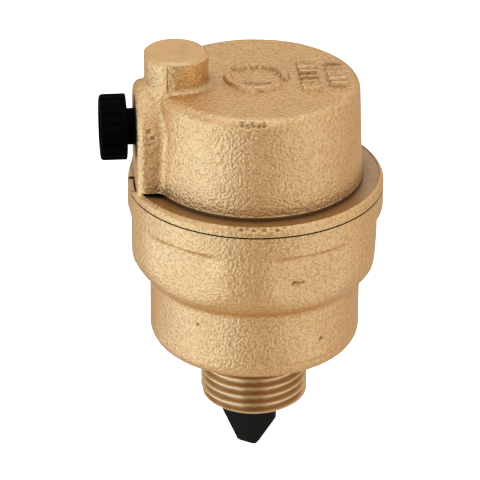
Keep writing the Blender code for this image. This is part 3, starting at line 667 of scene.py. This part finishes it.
def forging(name, field, relief, low, high, finish):
    """A closed mesh of the field's surface, with its relief and a blasted forging's grain."""
    points, quads = surface_net(field, low, high, GRID_STEP)
    for _ in range(RELAXATIONS):
        slope = gradient(field, points)
        size = np.sum(slope * slope, axis=1)
        points -= slope * (field(*points.T) / np.maximum(size, 0.05))[:, None]
        points = relaxed(points, quads)
    slope = gradient(field, points)
    size = np.sum(slope * slope, axis=1)
    points -= slope * (field(*points.T) / np.maximum(size, 0.05))[:, None]
    normal = slope / np.linalg.norm(slope, axis=1)[:, None]
    points += normal * (grain_of(points) + relief(points))[:, None]
    return object_from(name, points, quads, finish, 180.0)


def around(degrees, radius, z, size):
    """A pit at an angle from -Y towards +X."""
    return (radius * sin(radians(degrees)), -radius * cos(radians(degrees)), z, size)


def pit_depth(points, pits):
    """How deep the pits are at each point, each given as its centre and its radius."""
    depth = np.zeros(len(points))
    for x, y, z, size in pits:
        away = np.sum((points - (x, y, z)) ** 2, axis=1) / size ** 2
        depth += PIT_DEPTH * size * np.maximum(1 - away, 0) ** 2
    return depth


# ---------------------------------------------------------------- body

def body_field(x, y, z):
    """The forged body: a cylinder with a round bottom, and a band with six flats."""
    radius = np.hypot(x, y)
    lower = rounded(radius - BODY_RADIUS, BODY_BOTTOM - z, BODY_BOTTOM_FILLET)
    arc_radius = BAND_RADIUS - SHOULDER_RADIUS
    band = np.hypot(radius - arc_radius, np.minimum(z - SHOULDER_TOP, 0)) - SHOULDER_RADIUS
    for side in range(6):
        angle = radians(FLAT_PHASE - 90 + 60 * side)
        beyond = FLAT_APOTHEM - (x * cos(angle) + y * sin(angle))
        band = soft_max(band, -soft_max(beyond, z - FLAT_TOP, FLAT_LEDGE_BLEND), FLAT_EDGE_BLEND)
    solid = soft_min(lower, band, BAND_FILLET)
    angle = np.arctan2(x, -y)
    start, end = (radians(a) for a in RIDGE_ANGLES)
    beyond = BODY_RADIUS * np.maximum(np.maximum(start - angle, angle - end), 0)
    flank = np.hypot(beyond * RIDGE_TAPER, z - RIDGE_Z)
    ridge = np.hypot(flank, radius - BODY_RADIUS + RIDGE_SINK) - RIDGE_RADIUS
    return soft_min(solid, ridge, RIDGE_FILLET)


BODY_PITS = (
    around(12.6, 23.4, 35.7, 0.7),
    around(14.8, 23.5, 35.5, 0.55),
    around(17.0, 23.5, 35.6, 0.5),
    around(33.0, 20.5, 20.4, 0.6),
    around(-38.0, 20.5, 24.0, 0.5),
)


def thread_mesh(finish):
    """The threaded spigot as a solid, its crests rounded and its start chamfered."""
    row_height = THREAD_PITCH / THREAD_ROWS_PER_TURN
    rows = int(THREAD_TOP / row_height)
    middle = (THREAD_RADIUS + THREAD_ROOT_RADIUS) / 2
    depth = THREAD_RADIUS - THREAD_ROOT_RADIUS
    core_top = BODY_BOTTOM + THREAD_OVERLAP
    points, rings = [(0.0, 0.0, 0.0)], [[0]]
    for row in range(rows + 2):
        z = min(row * row_height, THREAD_TOP) if row <= rows else core_top
        rings.append(list(range(len(points), len(points) + THREAD_SIDES)))
        runout = min(1.0, max(0.0, (THREAD_TOP - z) / THREAD_RUNOUT))
        for i in range(THREAD_SIDES):
            angle = TURN * i / THREAD_SIDES
            turn = (z / THREAD_PITCH - angle / TURN) % 1.0
            wave = 1 - 4 * abs(turn - 0.5)
            height = 0.5 * sin(pi / 2 * max(-1.0, min(1.0, THREAD_FLATTENING * wave)))
            radius = middle + depth * (height * runout - 0.5 * (1 - runout))
            radius = min(radius, THREAD_END_RADIUS + z * THREAD_END_SLOPE)
            points.append((radius * cos(angle), radius * sin(angle), z))
    points.append((0.0, 0.0, core_top))
    rings.append([len(points) - 1])
    return object_from("thread", points, skin(rings, closed=False), finish)


def body_bore_outline():
    """What is turned out of the body: its top, the socket, the chamber and the inlet."""
    above = BODY_TOP + OVERRUN
    outer = BAND_RADIUS + OVERRUN
    fillet_centre = (CHAMBER_RADIUS - BODY_FLOOR_FILLET, BODY_FLOOR + BODY_FLOOR_FILLET)
    below = -BORE_OVERRUN
    outline = [(0.0, above), (0.0, below), (INLET_RADIUS, below), (INLET_RADIUS, BODY_FLOOR)]
    outline += arc(fillet_centre, BODY_FLOOR_FILLET, -90, 0, 8)
    outline += [
        (CHAMBER_RADIUS, SOCKET_FLOOR),
        (SOCKET_RADIUS, SOCKET_FLOOR),
        (SOCKET_RADIUS, RING_RECESS_FLOOR),
        (RING_RECESS_RADIUS, RING_RECESS_FLOOR),
        (RING_RECESS_RADIUS, BODY_TOP),
        (outer, BODY_TOP),
        (outer, above),
    ]
    return outline


def make_body(forged, machined):
    reach = BAND_RADIUS + GRID_MARGIN
    low = (-reach, -reach, BODY_BOTTOM - GRID_MARGIN)
    high = (reach, reach, BODY_TOP + STOCK + GRID_MARGIN)

    def field(x, y, z):
        return soft_max(body_field(x, y, z), z - BODY_TOP - STOCK, TOP_BLEND)

    body = forging("brass_body", field, body_relief, low, high, forged)
    join(body, thread_mesh(machined))
    cut(body, turned("body_bore", body_bore_outline(), machined))
    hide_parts("body")
    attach(shaded(body), "root")


# ---------------------------------------------------------------- cover

def box_mark(x, y, centre, half):
    """The distance in plan to a bar."""
    return np.maximum(np.abs(x - centre[0]) - half[0], np.abs(y - centre[1]) - half[1])


def raised_marks(x, y):
    """The distance in plan to the nearest of the generic marks on the dome."""
    radius = np.hypot(x, y)
    low, high = RING_MARK
    marks = np.abs(radius - (low + high) / 2) - (high - low) / 2
    across_x, across_y = RING_GAP_NORMAL
    marks = np.maximum(marks, RING_GAP_HALF - np.abs(x * across_x + y * across_y))
    half_length, half_width = ARROW_MARK
    slope = half_width / (2 * half_length)
    side = (np.abs(x) - (half_length - y) * slope) / np.hypot(1, slope)
    marks = np.minimum(marks, np.maximum(side, -half_length - y))
    for row, count, spacing in BAR_ROWS:
        for bar in range(count):
            centre = (row, (bar - (count - 1) / 2) * spacing)
            mark = box_mark(x, y, centre, (BAR_HALF_LENGTH, BAR_HALF_WIDTH))
            marks = np.minimum(marks, mark)
    return marks


def cover_field(x, y, z):
    """The forged cover: dome, side block and boss, all blended, on a flange."""
    radius = np.hypot(x, y)
    height = (z - GROOVE_Z) / (DOME_TOP - GROOVE_Z)
    wall = DOME_BASE_RADIUS + (DOME_TOP_RADIUS - DOME_BASE_RADIUS) * height
    dome = rounded(radius - wall, z - DOME_TOP, DOME_EDGE_RADIUS)
    crown = (z - PORT_Z) * BLOCK_HALF_WIDTH / (BLOCK_HALF_WIDTH + BLOCK_CROWN)
    from_port = np.where(z > PORT_Z, np.hypot(y, crown), np.abs(y))
    face = -x + BLOCK_FACE_X - BLOCK_STOCK
    block = rounded(from_port - BLOCK_HALF_WIDTH, face, BLOCK_EDGE_RADIUS)
    block = np.maximum(block, x - VALVE_X)
    left = (np.arctan2(x - VALVE_X, -y) < radians(PARTING_ANGLE)) & (y < 0)
    step = np.where(left, PARTING_STEP, 0.0)
    from_valve = np.hypot(x - VALVE_X - BOSS_SHIFT, y + step)
    boss = rounded(from_valve - BOSS_RADIUS, z - BOSS_TOP - BOSS_STOCK, BOSS_EDGE_RADIUS)
    boss = np.maximum(boss, BOSS_ROOT - z)
    solid = soft_min(dome, block, BLOCK_FILLET)
    solid = soft_min(solid, boss, BOSS_FILLET)
    flange = rounded(radius - BAND_RADIUS, z - FLANGE_TOP, FLANGE_EDGE_RADIUS)
    solid = soft_min(solid, flange, FLANGE_FILLET)
    return np.maximum(solid, FLANGE_BOTTOM - STOCK - z)


COVER_PITS = (
    around(-17.5, 24.3, 48.4, 0.6),
    around(-15.0, 24.0, 48.5, 0.5),
    around(-12.2, 24.4, 48.2, 0.8),
    around(-9.4, 24.1, 48.5, 0.7),
    around(-6.6, 24.4, 48.1, 0.75),
    around(-4.6, 24.1, 48.5, 0.55),
    around(-2.0, 24.4, 48.2, 0.8),
    around(1.2, 24.2, 48.4, 0.6),
    around(3.9, 24.4, 48.1, 0.7),
    around(7.4, 24.2, 48.4, 0.55),
    around(-13.6, 19.4, 67.2, 0.9),
    around(-10.6, 19.6, 66.9, 0.8),
    around(-7.6, 19.3, 67.3, 0.9),
    around(-4.4, 19.6, 67.0, 0.75),
    around(-1.4, 19.4, 67.2, 0.8),
    (-20.6, -8.6, 62.8, 0.95),
    (-21.0, -8.6, 61.3, 0.85),
    (-20.3, -8.6, 60.0, 0.7),
    (-20.8, -8.5, 58.6, 0.5),
)


def cover_relief(points):
    """The raised marks on top of the dome, less the pits."""
    x, y, z = points.T
    share = np.clip(-raised_marks(x, y) / MARK_EDGE + 0.5, 0, 1)
    raised = MARK_HEIGHT * share * share * (3 - 2 * share)
    on_top = np.abs(z - DOME_TOP) < MARK_BAND
    return np.where(on_top, raised, 0) - pit_depth(points, COVER_PITS)


def body_relief(points):
    return -pit_depth(points, BODY_PITS)


def cover_trim_outline():
    """The space that the cover fills above the machined underside of its flange."""
    reach, above = BAND_RADIUS + TRIM_REACH, BOSS_TOP + TRIM_RISE
    return [(0.0, FLANGE_BOTTOM), (reach, FLANGE_BOTTOM), (reach, above), (0.0, above)]


def groove_outline():
    """The turned groove round the foot of the dome, which runs under the block."""
    return [
        (DOME_BASE_RADIUS + 0.02, GROOVE_Z),
        (GROOVE_OUTER_RADIUS, GROOVE_Z + GROOVE_RISE),
        (GROOVE_OUTER_RADIUS + GROOVE_FLARE, BLOCK_BOTTOM),
        (DOME_BASE_RADIUS, BLOCK_BOTTOM),
    ]


def block_foot_outline():
    """A square plug, given by its corner radius, that closes the groove below the block."""
    radius = BLOCK_FOOT_HALF * sqrt(2)
    low, high = GROOVE_Z - BLOCK_FOOT_OVERLAP, BLOCK_BOTTOM + BLOCK_FOOT_OVERLAP
    return [(0.0, low), (radius, low), (radius, high), (0.0, high)]


def skirt_outline():
    """The screwed skirt, a little thick inside until the cavity is turned out."""
    inner, top = SKIRT_INNER_RADIUS - SKIRT_STOCK, FLANGE_BOTTOM + SKIRT_OVERLAP
    return [(inner, SKIRT_BOTTOM), (SKIRT_RADIUS, SKIRT_BOTTOM), (SKIRT_RADIUS, top), (inner, top)]


def cavity_outline():
    """What is turned out of the cover, up to the dome's ceiling."""
    return [
        (0.0, SKIRT_BOTTOM - BORE_OVERRUN),
        (SKIRT_INNER_RADIUS, SKIRT_BOTTOM - BORE_OVERRUN),
        (SKIRT_INNER_RADIUS, FLANGE_BOTTOM),
        (CHAMBER_RADIUS, FLANGE_BOTTOM + SKIRT_STEP),
        (CHAMBER_RADIUS, CEILING - CEILING_CHAMFER),
        (CHAMBER_RADIUS - CEILING_CHAMFER, CEILING),
        (0.0, CEILING),
    ]


def column_outline():
    """The tube below the ceiling that holds the valve."""
    return [
        (0.0, COLUMN_BOTTOM),
        (COLUMN_RADIUS, COLUMN_BOTTOM),
        (COLUMN_RADIUS, CEILING + OVERLAP),
        (0.0, CEILING + OVERLAP),
    ]


def column_trim_outline():
    """A plug as wide as the dome's wall, which trims the column."""
    return [
        (0.0, COLUMN_BOTTOM - COLUMN_TRIM_DROP),
        (DOME_BASE_RADIUS - COLUMN_TRIM_INSET, COLUMN_BOTTOM - COLUMN_TRIM_DROP),
        (DOME_TOP_RADIUS - COLUMN_TRIM_INSET, DOME_TOP - COLUMN_TRIM_DROP),
        (0.0, DOME_TOP - COLUMN_TRIM_DROP),
    ]


def valve_bores_outline():
    """The stem's bore, the pocket of the seat and the vent chamber above it."""
    return [
        (0.0, COLUMN_BOTTOM - BORE_OVERRUN),
        (STEM_BORE_RADIUS, COLUMN_BOTTOM - BORE_OVERRUN),
        (STEM_BORE_RADIUS, SEAT_POCKET_TOP),
        (VENT_CHAMBER_RADIUS, SEAT_POCKET_TOP),
        (VENT_CHAMBER_RADIUS, VENT_CHAMBER_TOP - VENT_CHAMBER_CONE),
        (0.0, VENT_CHAMBER_TOP),
    ]


def boss_facing_outline():
    """The cutter that faced the boss's top and chamfered its edge."""
    inset, drop = BOSS_CHAMFER
    past_out, past_down = BOSS_CHAMFER_END
    low, above = BOSS_TOP - drop - past_down, BOSS_TOP + OVERRUN
    outer = BOSS_RADIUS + FACING_REACH
    return [
        (0.0, BOSS_TOP),
        (BOSS_RADIUS - inset, BOSS_TOP),
        (BOSS_RADIUS + past_out, low),
        (outer, low),
        (outer, above),
        (0.0, above),
    ]


def port_outline():
    """Distances along -X: the port, and the spot face around it."""
    face = -BLOCK_FACE_X
    outside = face + PORT_OVERRUN
    return [
        (0.0, -PASSAGE_END_X),
        (PASSAGE_RADIUS, -PASSAGE_END_X),
        (PASSAGE_RADIUS, -PORT_END_X),
        (PORT_RADIUS, -PORT_END_X),
        (PORT_RADIUS, face - PORT_CHAMFER),
        (PORT_RADIUS + PORT_CHAMFER, face),
        (SPOT_FACE_RADIUS, face),
        (SPOT_FACE_RADIUS, outside),
        (0.0, outside),
    ]


def make_cover(forged, machined, faced, groove_painted_shade, spot_faced):
    reach = BAND_RADIUS + GRID_MARGIN
    low = (-reach, -reach, FLANGE_BOTTOM - STOCK - GRID_MARGIN)
    high = (reach, reach, BOSS_TOP + BOSS_GRID_MARGIN)
    cover = forging("brass_cover", cover_field, cover_relief, low, high, forged)
    trim = turned("cover_trim", cover_trim_outline(), machined)
    boolean(cover, trim, "INTERSECT")
    # The groove's faces take a finish with painted shade.
    cut(cover, turned("groove", groove_outline(), groove_painted_shade))
    square = Matrix.Rotation(pi / 4, 4, "Z")
    foot_place = moved(BLOCK_FACE_X + BLOCK_FOOT_HALF - BLOCK_FOOT_STOCK) @ square
    join(cover, turned("block_foot", block_foot_outline(), forged, foot_place, sides=4))
    join(cover, turned("skirt", skirt_outline(), machined))
    cut(cover, turned("cavity", cavity_outline(), machined))
    column = turned("column", column_outline(), machined, moved(VALVE_X))
    boolean(column, turned("column_trim", column_trim_outline(), machined), "INTERSECT")
    join(cover, column)
    cut(cover, turned("valve_bores", valve_bores_outline(), machined, moved(VALVE_X)))
    cut(cover, turned("boss_facing", boss_facing_outline(), faced, moved(VALVE_X)))
    cut(cover, turned("port_cutter", port_outline(), spot_faced, along_minus_x(PORT_Z)))
    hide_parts("cover")
    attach(shaded(cover), "root")


# ---------------------------------------------------------------- knob and tail

def knob_outline():
    """Distances along -X from the part's axis: recess, tip, seal groove, neck and head."""
    tip, head, end, ring = (-x for x in (KNOB_TIP_X, KNOB_INNER_X, KNOB_OUTER_X, KNOB_RING_X))
    seat = KNOB_SEAT_RADIUS
    edge, inner_edge = KNOB_EDGE_RADIUS, KNOB_INNER_EDGE_RADIUS
    dish_edge = KNOB_DISH_EDGE
    outline = [
        (0.0, -KNOB_RECESS_X),
        (KNOB_RECESS_RADIUS, -KNOB_RECESS_X),
        (KNOB_RECESS_RADIUS, tip),
        (seat - KNOB_TIP_EDGE, tip),
        (seat, tip + KNOB_TIP_EDGE),
        (seat, ring - KNOB_GROOVE_HALF),
        (seat - KNOB_GROOVE_DEPTH, ring - KNOB_GROOVE_HALF),
        (seat - KNOB_GROOVE_DEPTH, ring + KNOB_GROOVE_HALF),
        (seat, ring + KNOB_GROOVE_HALF),
        (KNOB_NECK_RADIUS, ring + KNOB_NECK_START),
        (KNOB_NECK_RADIUS, head - inner_edge),
    ]
    outline += arc((KNOB_NECK_RADIUS + inner_edge, head - inner_edge), inner_edge, 180, 90, 4)
    outline += arc((KNOB_HEAD_RADIUS - inner_edge, head + inner_edge), inner_edge, -90, 0, 4)
    outline += [(KNOB_HEAD_RADIUS, head + (end - head) * i / 6) for i in range(1, 5)]
    outline += arc((KNOB_HEAD_RADIUS - edge, end - edge), edge, 0, 90, 6)
    outline += [(KNOB_DISH_RADIUS + dish_edge, end)]
    outline += arc((KNOB_DISH_RADIUS, end - dish_edge), dish_edge, 90, 180, 3)
    outline += [(KNOB_DISH_FLOOR_RADIUS, end - KNOB_DISH_DEPTH), (0.0, end - KNOB_DISH_DEPTH)]
    return outline


def make_knob(black):
    """The discharge knob, with shallow grip flutes round its head."""
    knob = turned("discharge_knob", knob_outline(), black, sides=8 * KNOB_FLUTES)
    for vertex in knob.data.vertices:
        x, y, z = vertex.co / MM
        radius = np.hypot(x, y)
        share = min(max((radius - FLUTE_FOOT_RADIUS) / FLUTE_FADE, 0.0), 1.0)
        share *= min(max((z + KNOB_INNER_X - FLUTE_FOOT_HEIGHT) / FLUTE_FADE, 0.0), 1.0)
        flute = 0.5 - 0.5 * cos(KNOB_FLUTES * np.arctan2(y, x))
        shrink = 1 - FLUTE_DEPTH * share * flute ** 2 / max(radius, 1.0)
        vertex.co = Vector((x * shrink, y * shrink, z)) * MM
    knob.data.transform(along_minus_x(PORT_Z))
    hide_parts("knob")
    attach(shaded(knob), "knob")


def tail_outline():
    """The blade's right-hand edge from its tip to its top, then the left-hand one."""
    slope = (TAIL_HALF_WIDTH - TAIL_TIP_HALF_WIDTH) / (TAIL_TAPER_Z - TAIL_BOTTOM)
    corner, top_corner, shoulder = TAIL_TIP_CORNER, TAIL_TOP_CORNER, TAIL_TOP_SHOULDER
    lower_inset, upper_inset = TAIL_BEND_INSETS
    right = [
        (TAIL_TIP_HALF_WIDTH - corner, TAIL_BOTTOM),
        (TAIL_TIP_HALF_WIDTH + 0.1, TAIL_BOTTOM + 0.18),
        (TAIL_TIP_HALF_WIDTH + corner * slope, TAIL_BOTTOM + corner),
        (TAIL_HALF_WIDTH - lower_inset, TAIL_TAPER_Z - TAIL_BEND),
        (TAIL_HALF_WIDTH - upper_inset, TAIL_TAPER_Z),
        (TAIL_HALF_WIDTH, TAIL_TAPER_Z + TAIL_BEND),
        (TAIL_HALF_WIDTH, TAIL_TOP - top_corner),
        (TAIL_HALF_WIDTH - shoulder, TAIL_TOP - shoulder),
        (TAIL_HALF_WIDTH - top_corner, TAIL_TOP),
    ]
    return right + [(-x, z) for x, z in reversed(right)]


def make_tail(black):
    """The float's tail: a blade with rounded edges and a hole for its pin."""
    outline = tail_outline()
    half, edge = TAIL_THICKNESS / 2, TAIL_EDGE_RADIUS
    points, rings = [], []
    levels = [(-half, edge)]
    turns = (pi / 6, pi / 3, pi / 2)
    levels += [(-half + edge - edge * cos(a), edge - edge * sin(a)) for a in turns]
    levels += [(-depth, inset) for depth, inset in reversed(levels)]
    for depth, inset in levels:
        rings.append(list(range(len(points), len(points) + len(outline))))
        for i, (x, z) in enumerate(outline):
            before, after = Vector(outline[i - 1]), Vector(outline[(i + 1) % len(outline)])
            run = (after - before).normalized()
            points.append((x - run.y * inset, -depth, z + run.x * inset))
    faces = skin(rings, closed=False) + [rings[0][::-1], rings[-1]]
    tail = object_from("tail_blade", points, faces, black)
    hole = TAIL_PIN_RADIUS + TAIL_PIN_FIT
    bore = [(0.0, -OVERRUN), (hole, -OVERRUN), (hole, OVERRUN), (0.0, OVERRUN)]
    place = moved(z=TAIL_PIN_Z) @ Matrix.Rotation(pi / 2, 4, "X")
    cut(tail, turned("pin_bore", bore, black, place, sides=32))
    tail.data.transform(moved(*TAIL_CENTRE) @ Matrix.Rotation(radians(TAIL_ANGLE), 4, "Z"))
    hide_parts("float_tail")
    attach(shaded(tail), "float")


def make_spring(steel):
    """The valve spring: wire swept along a helix."""
    bottom, top = SPRING_Z
    steps, sides = SPRING_TURNS * SPRING_STEPS, SPRING_SIDES
    lean = (top - bottom) / (TURN * SPRING_TURNS * SPRING_RADIUS)
    points, rings = [], []
    for i in range(steps + 1):
        angle = TURN * SPRING_TURNS * i / steps
        outward = Vector((cos(angle), sin(angle), 0.0))
        forward = Vector((-sin(angle), cos(angle), lean)).normalized()
        upward = outward.cross(forward)
        height = bottom + (top - bottom) * i / steps
        centre = outward * SPRING_RADIUS + Vector((VALVE_X, 0.0, height))
        rings.append(list(range(len(points), len(points) + sides)))
        for side in range(sides):
            turn = TURN * side / sides
            points.append(centre + (outward * cos(turn) + upward * sin(turn)) * SPRING_WIRE)
    faces = skin(rings, closed=False) + [rings[0][::-1], rings[-1]]
    spring = object_from("valve_spring", points, faces, steel, 60.0)
    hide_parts("stem_spring")
    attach(spring, "float")
    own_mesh(spring)


# ---------------------------------------------------------------- carried-over pieces

def dress_cad_nodes(finishes):
    """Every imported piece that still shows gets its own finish."""
    for name, finish in finishes.items():
        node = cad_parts[name]
        node.data.materials.clear()
        node.data.materials.append(finish)


# ---------------------------------------------------------------- studio

def make_floor():
    """A plain pale floor, well below the hanging object."""
    reach, level = FLOOR_REACH, cad_low.z - FLOOR_DROP
    corners = [(-reach, -reach), (reach, -reach), (reach, reach), (-reach, reach)]
    mesh = bpy.data.meshes.new("floor")
    mesh.from_pydata([(x, y, level) for x, y in corners], [], [(0, 1, 2, 3)])
    pale, paler = (0.93, 0.93, 0.93), (0.95, 0.95, 0.95)
    made, nodes, shader = new_material("floor", 0.0, 0.9, pale)
    place = nodes.add("ShaderNodeTexCoord").outputs["Object"]
    speckle = nodes.noise(place, size=30.0, detail=3.0)
    nodes.feed(shader.inputs["Base Color"], nodes.mix(speckle, rgb(*pale), rgb(*paler)))
    mesh.materials.append(made)
    floor = bpy.data.objects.new("floor", mesh)
    bpy.context.scene.collection.objects.link(floor)
    floor.visible_glossy = False


def make_world():
    """Two large softboxes with a dimmer gap between them, warm where dim and cool where bright."""
    world = bpy.data.worlds.new("studio")
    world.use_nodes = True
    bpy.context.scene.world = world
    nodes = Nodes(world.node_tree)
    direction = nodes.add("ShaderNodeSeparateXYZ")
    nodes.feed(direction.inputs[0], nodes.add("ShaderNodeTexCoord").outputs["Generated"])
    x, y, z = direction.outputs
    azimuth = nodes.math("ARCTAN2", x, nodes.math("MULTIPLY", y, -1.0))
    front = radians(CAMERA_AZIMUTH)

    def turning(start, end, low=0.0, high=1.0):
        """A level that goes from low to high between two azimuths."""
        return nodes.ramp(azimuth, front + radians(start), front + radians(end), low, high)

    def softbox(edges, fade):
        """The level of a softbox between two azimuths, with its brightness at two more."""
        start, end = edges
        (first, low), (last, high) = fade
        rise = turning(start - BOX_SOFTNESS, start + BOX_SOFTNESS)
        fall = turning(end - BOX_SOFTNESS, end + BOX_SOFTNESS, 1.0, 0.0)
        return nodes.math("MULTIPLY", rise, fall), turning(first, last, low, high)

    light = nodes.math("MULTIPLY_ADD", *softbox(LEFT_BOX, LEFT_FADE), FILL_LEVEL)
    light = nodes.math("MULTIPLY_ADD", *softbox(RIGHT_BOX, RIGHT_FADE), light)

    def toward(level, share):
        rest = nodes.math("MULTIPLY", light, nodes.math("SUBTRACT", 1.0, share))
        return nodes.math("MULTIPLY_ADD", share, level, rest)

    light = toward(SKY_LEVEL, nodes.ramp(z, 0.05, 0.4))
    light = toward(ZENITH_LEVEL, nodes.ramp(z, 0.75, 0.92))
    light = toward(GROUND_LEVEL, nodes.ramp(z, -0.92, -0.55, 1.0, 0.0))
    warm, cool = rgb(1.09, 0.91, 0.74), rgb(0.93, 1.09, 1.33)
    tint = nodes.mix(nodes.ramp(light, 0.46, 1.25), warm, cool)
    seen = nodes.add("ShaderNodeLightPath").outputs["Is Camera Ray"]
    back = world.node_tree.nodes["Background"]
    nodes.feed(back.inputs["Color"], nodes.mix(seen, tint, rgb(1.0, 1.0, 1.0)))
    strength = nodes.add("ShaderNodeMix")
    nodes.feed(strength.inputs["Factor"], seen)
    nodes.feed(strength.inputs[2], light)
    nodes.feed(strength.inputs[3], 1.0)
    nodes.feed(back.inputs["Strength"], strength.outputs[0])


def make_top_light():
    """A wide overhead softbox, which whitens the floor."""
    lamp = bpy.data.lights.new("overhead", "AREA")
    lamp.shape = "DISK"
    lamp.size = LAMP_SIZE
    lamp.energy = LAMP_POWER
    light = bpy.data.objects.new("overhead", lamp)
    light.location = (0.0, 0.0, LAMP_HEIGHT)
    light.visible_glossy = False
    bpy.context.scene.collection.objects.link(light)


def make_camera():
    data = bpy.data.cameras.new("camera")
    data.lens = CAMERA_LENS
    data.sensor_width = 36.0
    data.shift_x = CAMERA_SHIFT
    data.clip_start = 0.01
    data.clip_end = 20.0
    camera = bpy.data.objects.new("camera", data)
    azimuth, elevation = radians(CAMERA_AZIMUTH), radians(CAMERA_ELEVATION)
    back = Vector((sin(azimuth) * cos(elevation), -cos(azimuth) * cos(elevation), sin(elevation)))
    camera.location = Vector((0, 0, TARGET_Z * MM)) + back * CAMERA_DISTANCE * MM
    aim = (-back).to_track_quat("-Z", "Y")
    camera.rotation_mode = "QUATERNION"
    camera.rotation_quaternion = aim @ Matrix.Rotation(radians(CAMERA_ROLL), 3, "Z").to_quaternion()
    bpy.context.scene.collection.objects.link(camera)
    bpy.context.scene.camera = camera


def make_object():
    forged = forged_brass()
    machined = turned_brass("machined_brass", (0, 0, 0), "XY", (0.78, 0.56, 0.32), 0.30, 0.28)
    faced = turned_brass("faced_brass", (VALVE_X, 0, 0), "XY", (0.86, 0.57, 0.275), 0.40)
    # The groove's darker base colour is painted shade of its floor, and it has strong painted shade
    # in its corners.
    groove = turned_brass("groove_brass_painted_shade", (0, 0, 0), "XY", (0.52, 0.35, 0.185), 0.34, 0.95)
    spot = turned_brass("spot_faced_brass", (0, 0, PORT_Z), "YZ", (0.86, 0.57, 0.275), 0.40)
    valve = turned_brass("valve_brass", (VALVE_X, 0, 0), "XY", (0.80, 0.53, 0.27), 0.25)
    black = moulded("moulded_black", (0.0007, 0.0007, 0.0006), 0.6, 0.25, 0.01, 0.012)
    tail_black = moulded("tail_black", (0.0048, 0.0044, 0.0026), 0.55, 0.3, 0.012, 0.06)
    grey = moulded("float_plastic", (0.02, 0.02, 0.022), 0.5, 0.4, 0.012)
    rubber = moulded("seal_rubber", (0.012, 0.012, 0.012), 0.65, 0.2, 0.01)
    steel = drawn_steel()
    make_body(forged, machined)
    make_cover(forged, machined, faced, groove, spot)
    make_knob(black)
    make_tail(tail_black)
    make_spring(steel)
    dress_cad_nodes({
        "cover_o_ring": rubber,
        "valve_seat": valve,
        "valve_seat_o_ring": rubber,
        "knob_seal": rubber,
        "knob_o_ring": rubber,
        "float_cup": grey,
        "float_lid": grey,
        "tail_pin": steel,
        "valve_arm": steel,
        "arm_rivet_1": steel,
        "arm_rivet_2": steel,
        "obturator_stem": valve,
        "obturator_pad": rubber,
        "stem_clip": steel,
    })


make_object()
make_floor()
make_world()
make_top_light()
make_camera()
bpy.context.scene.view_settings.view_transform = "Standard"
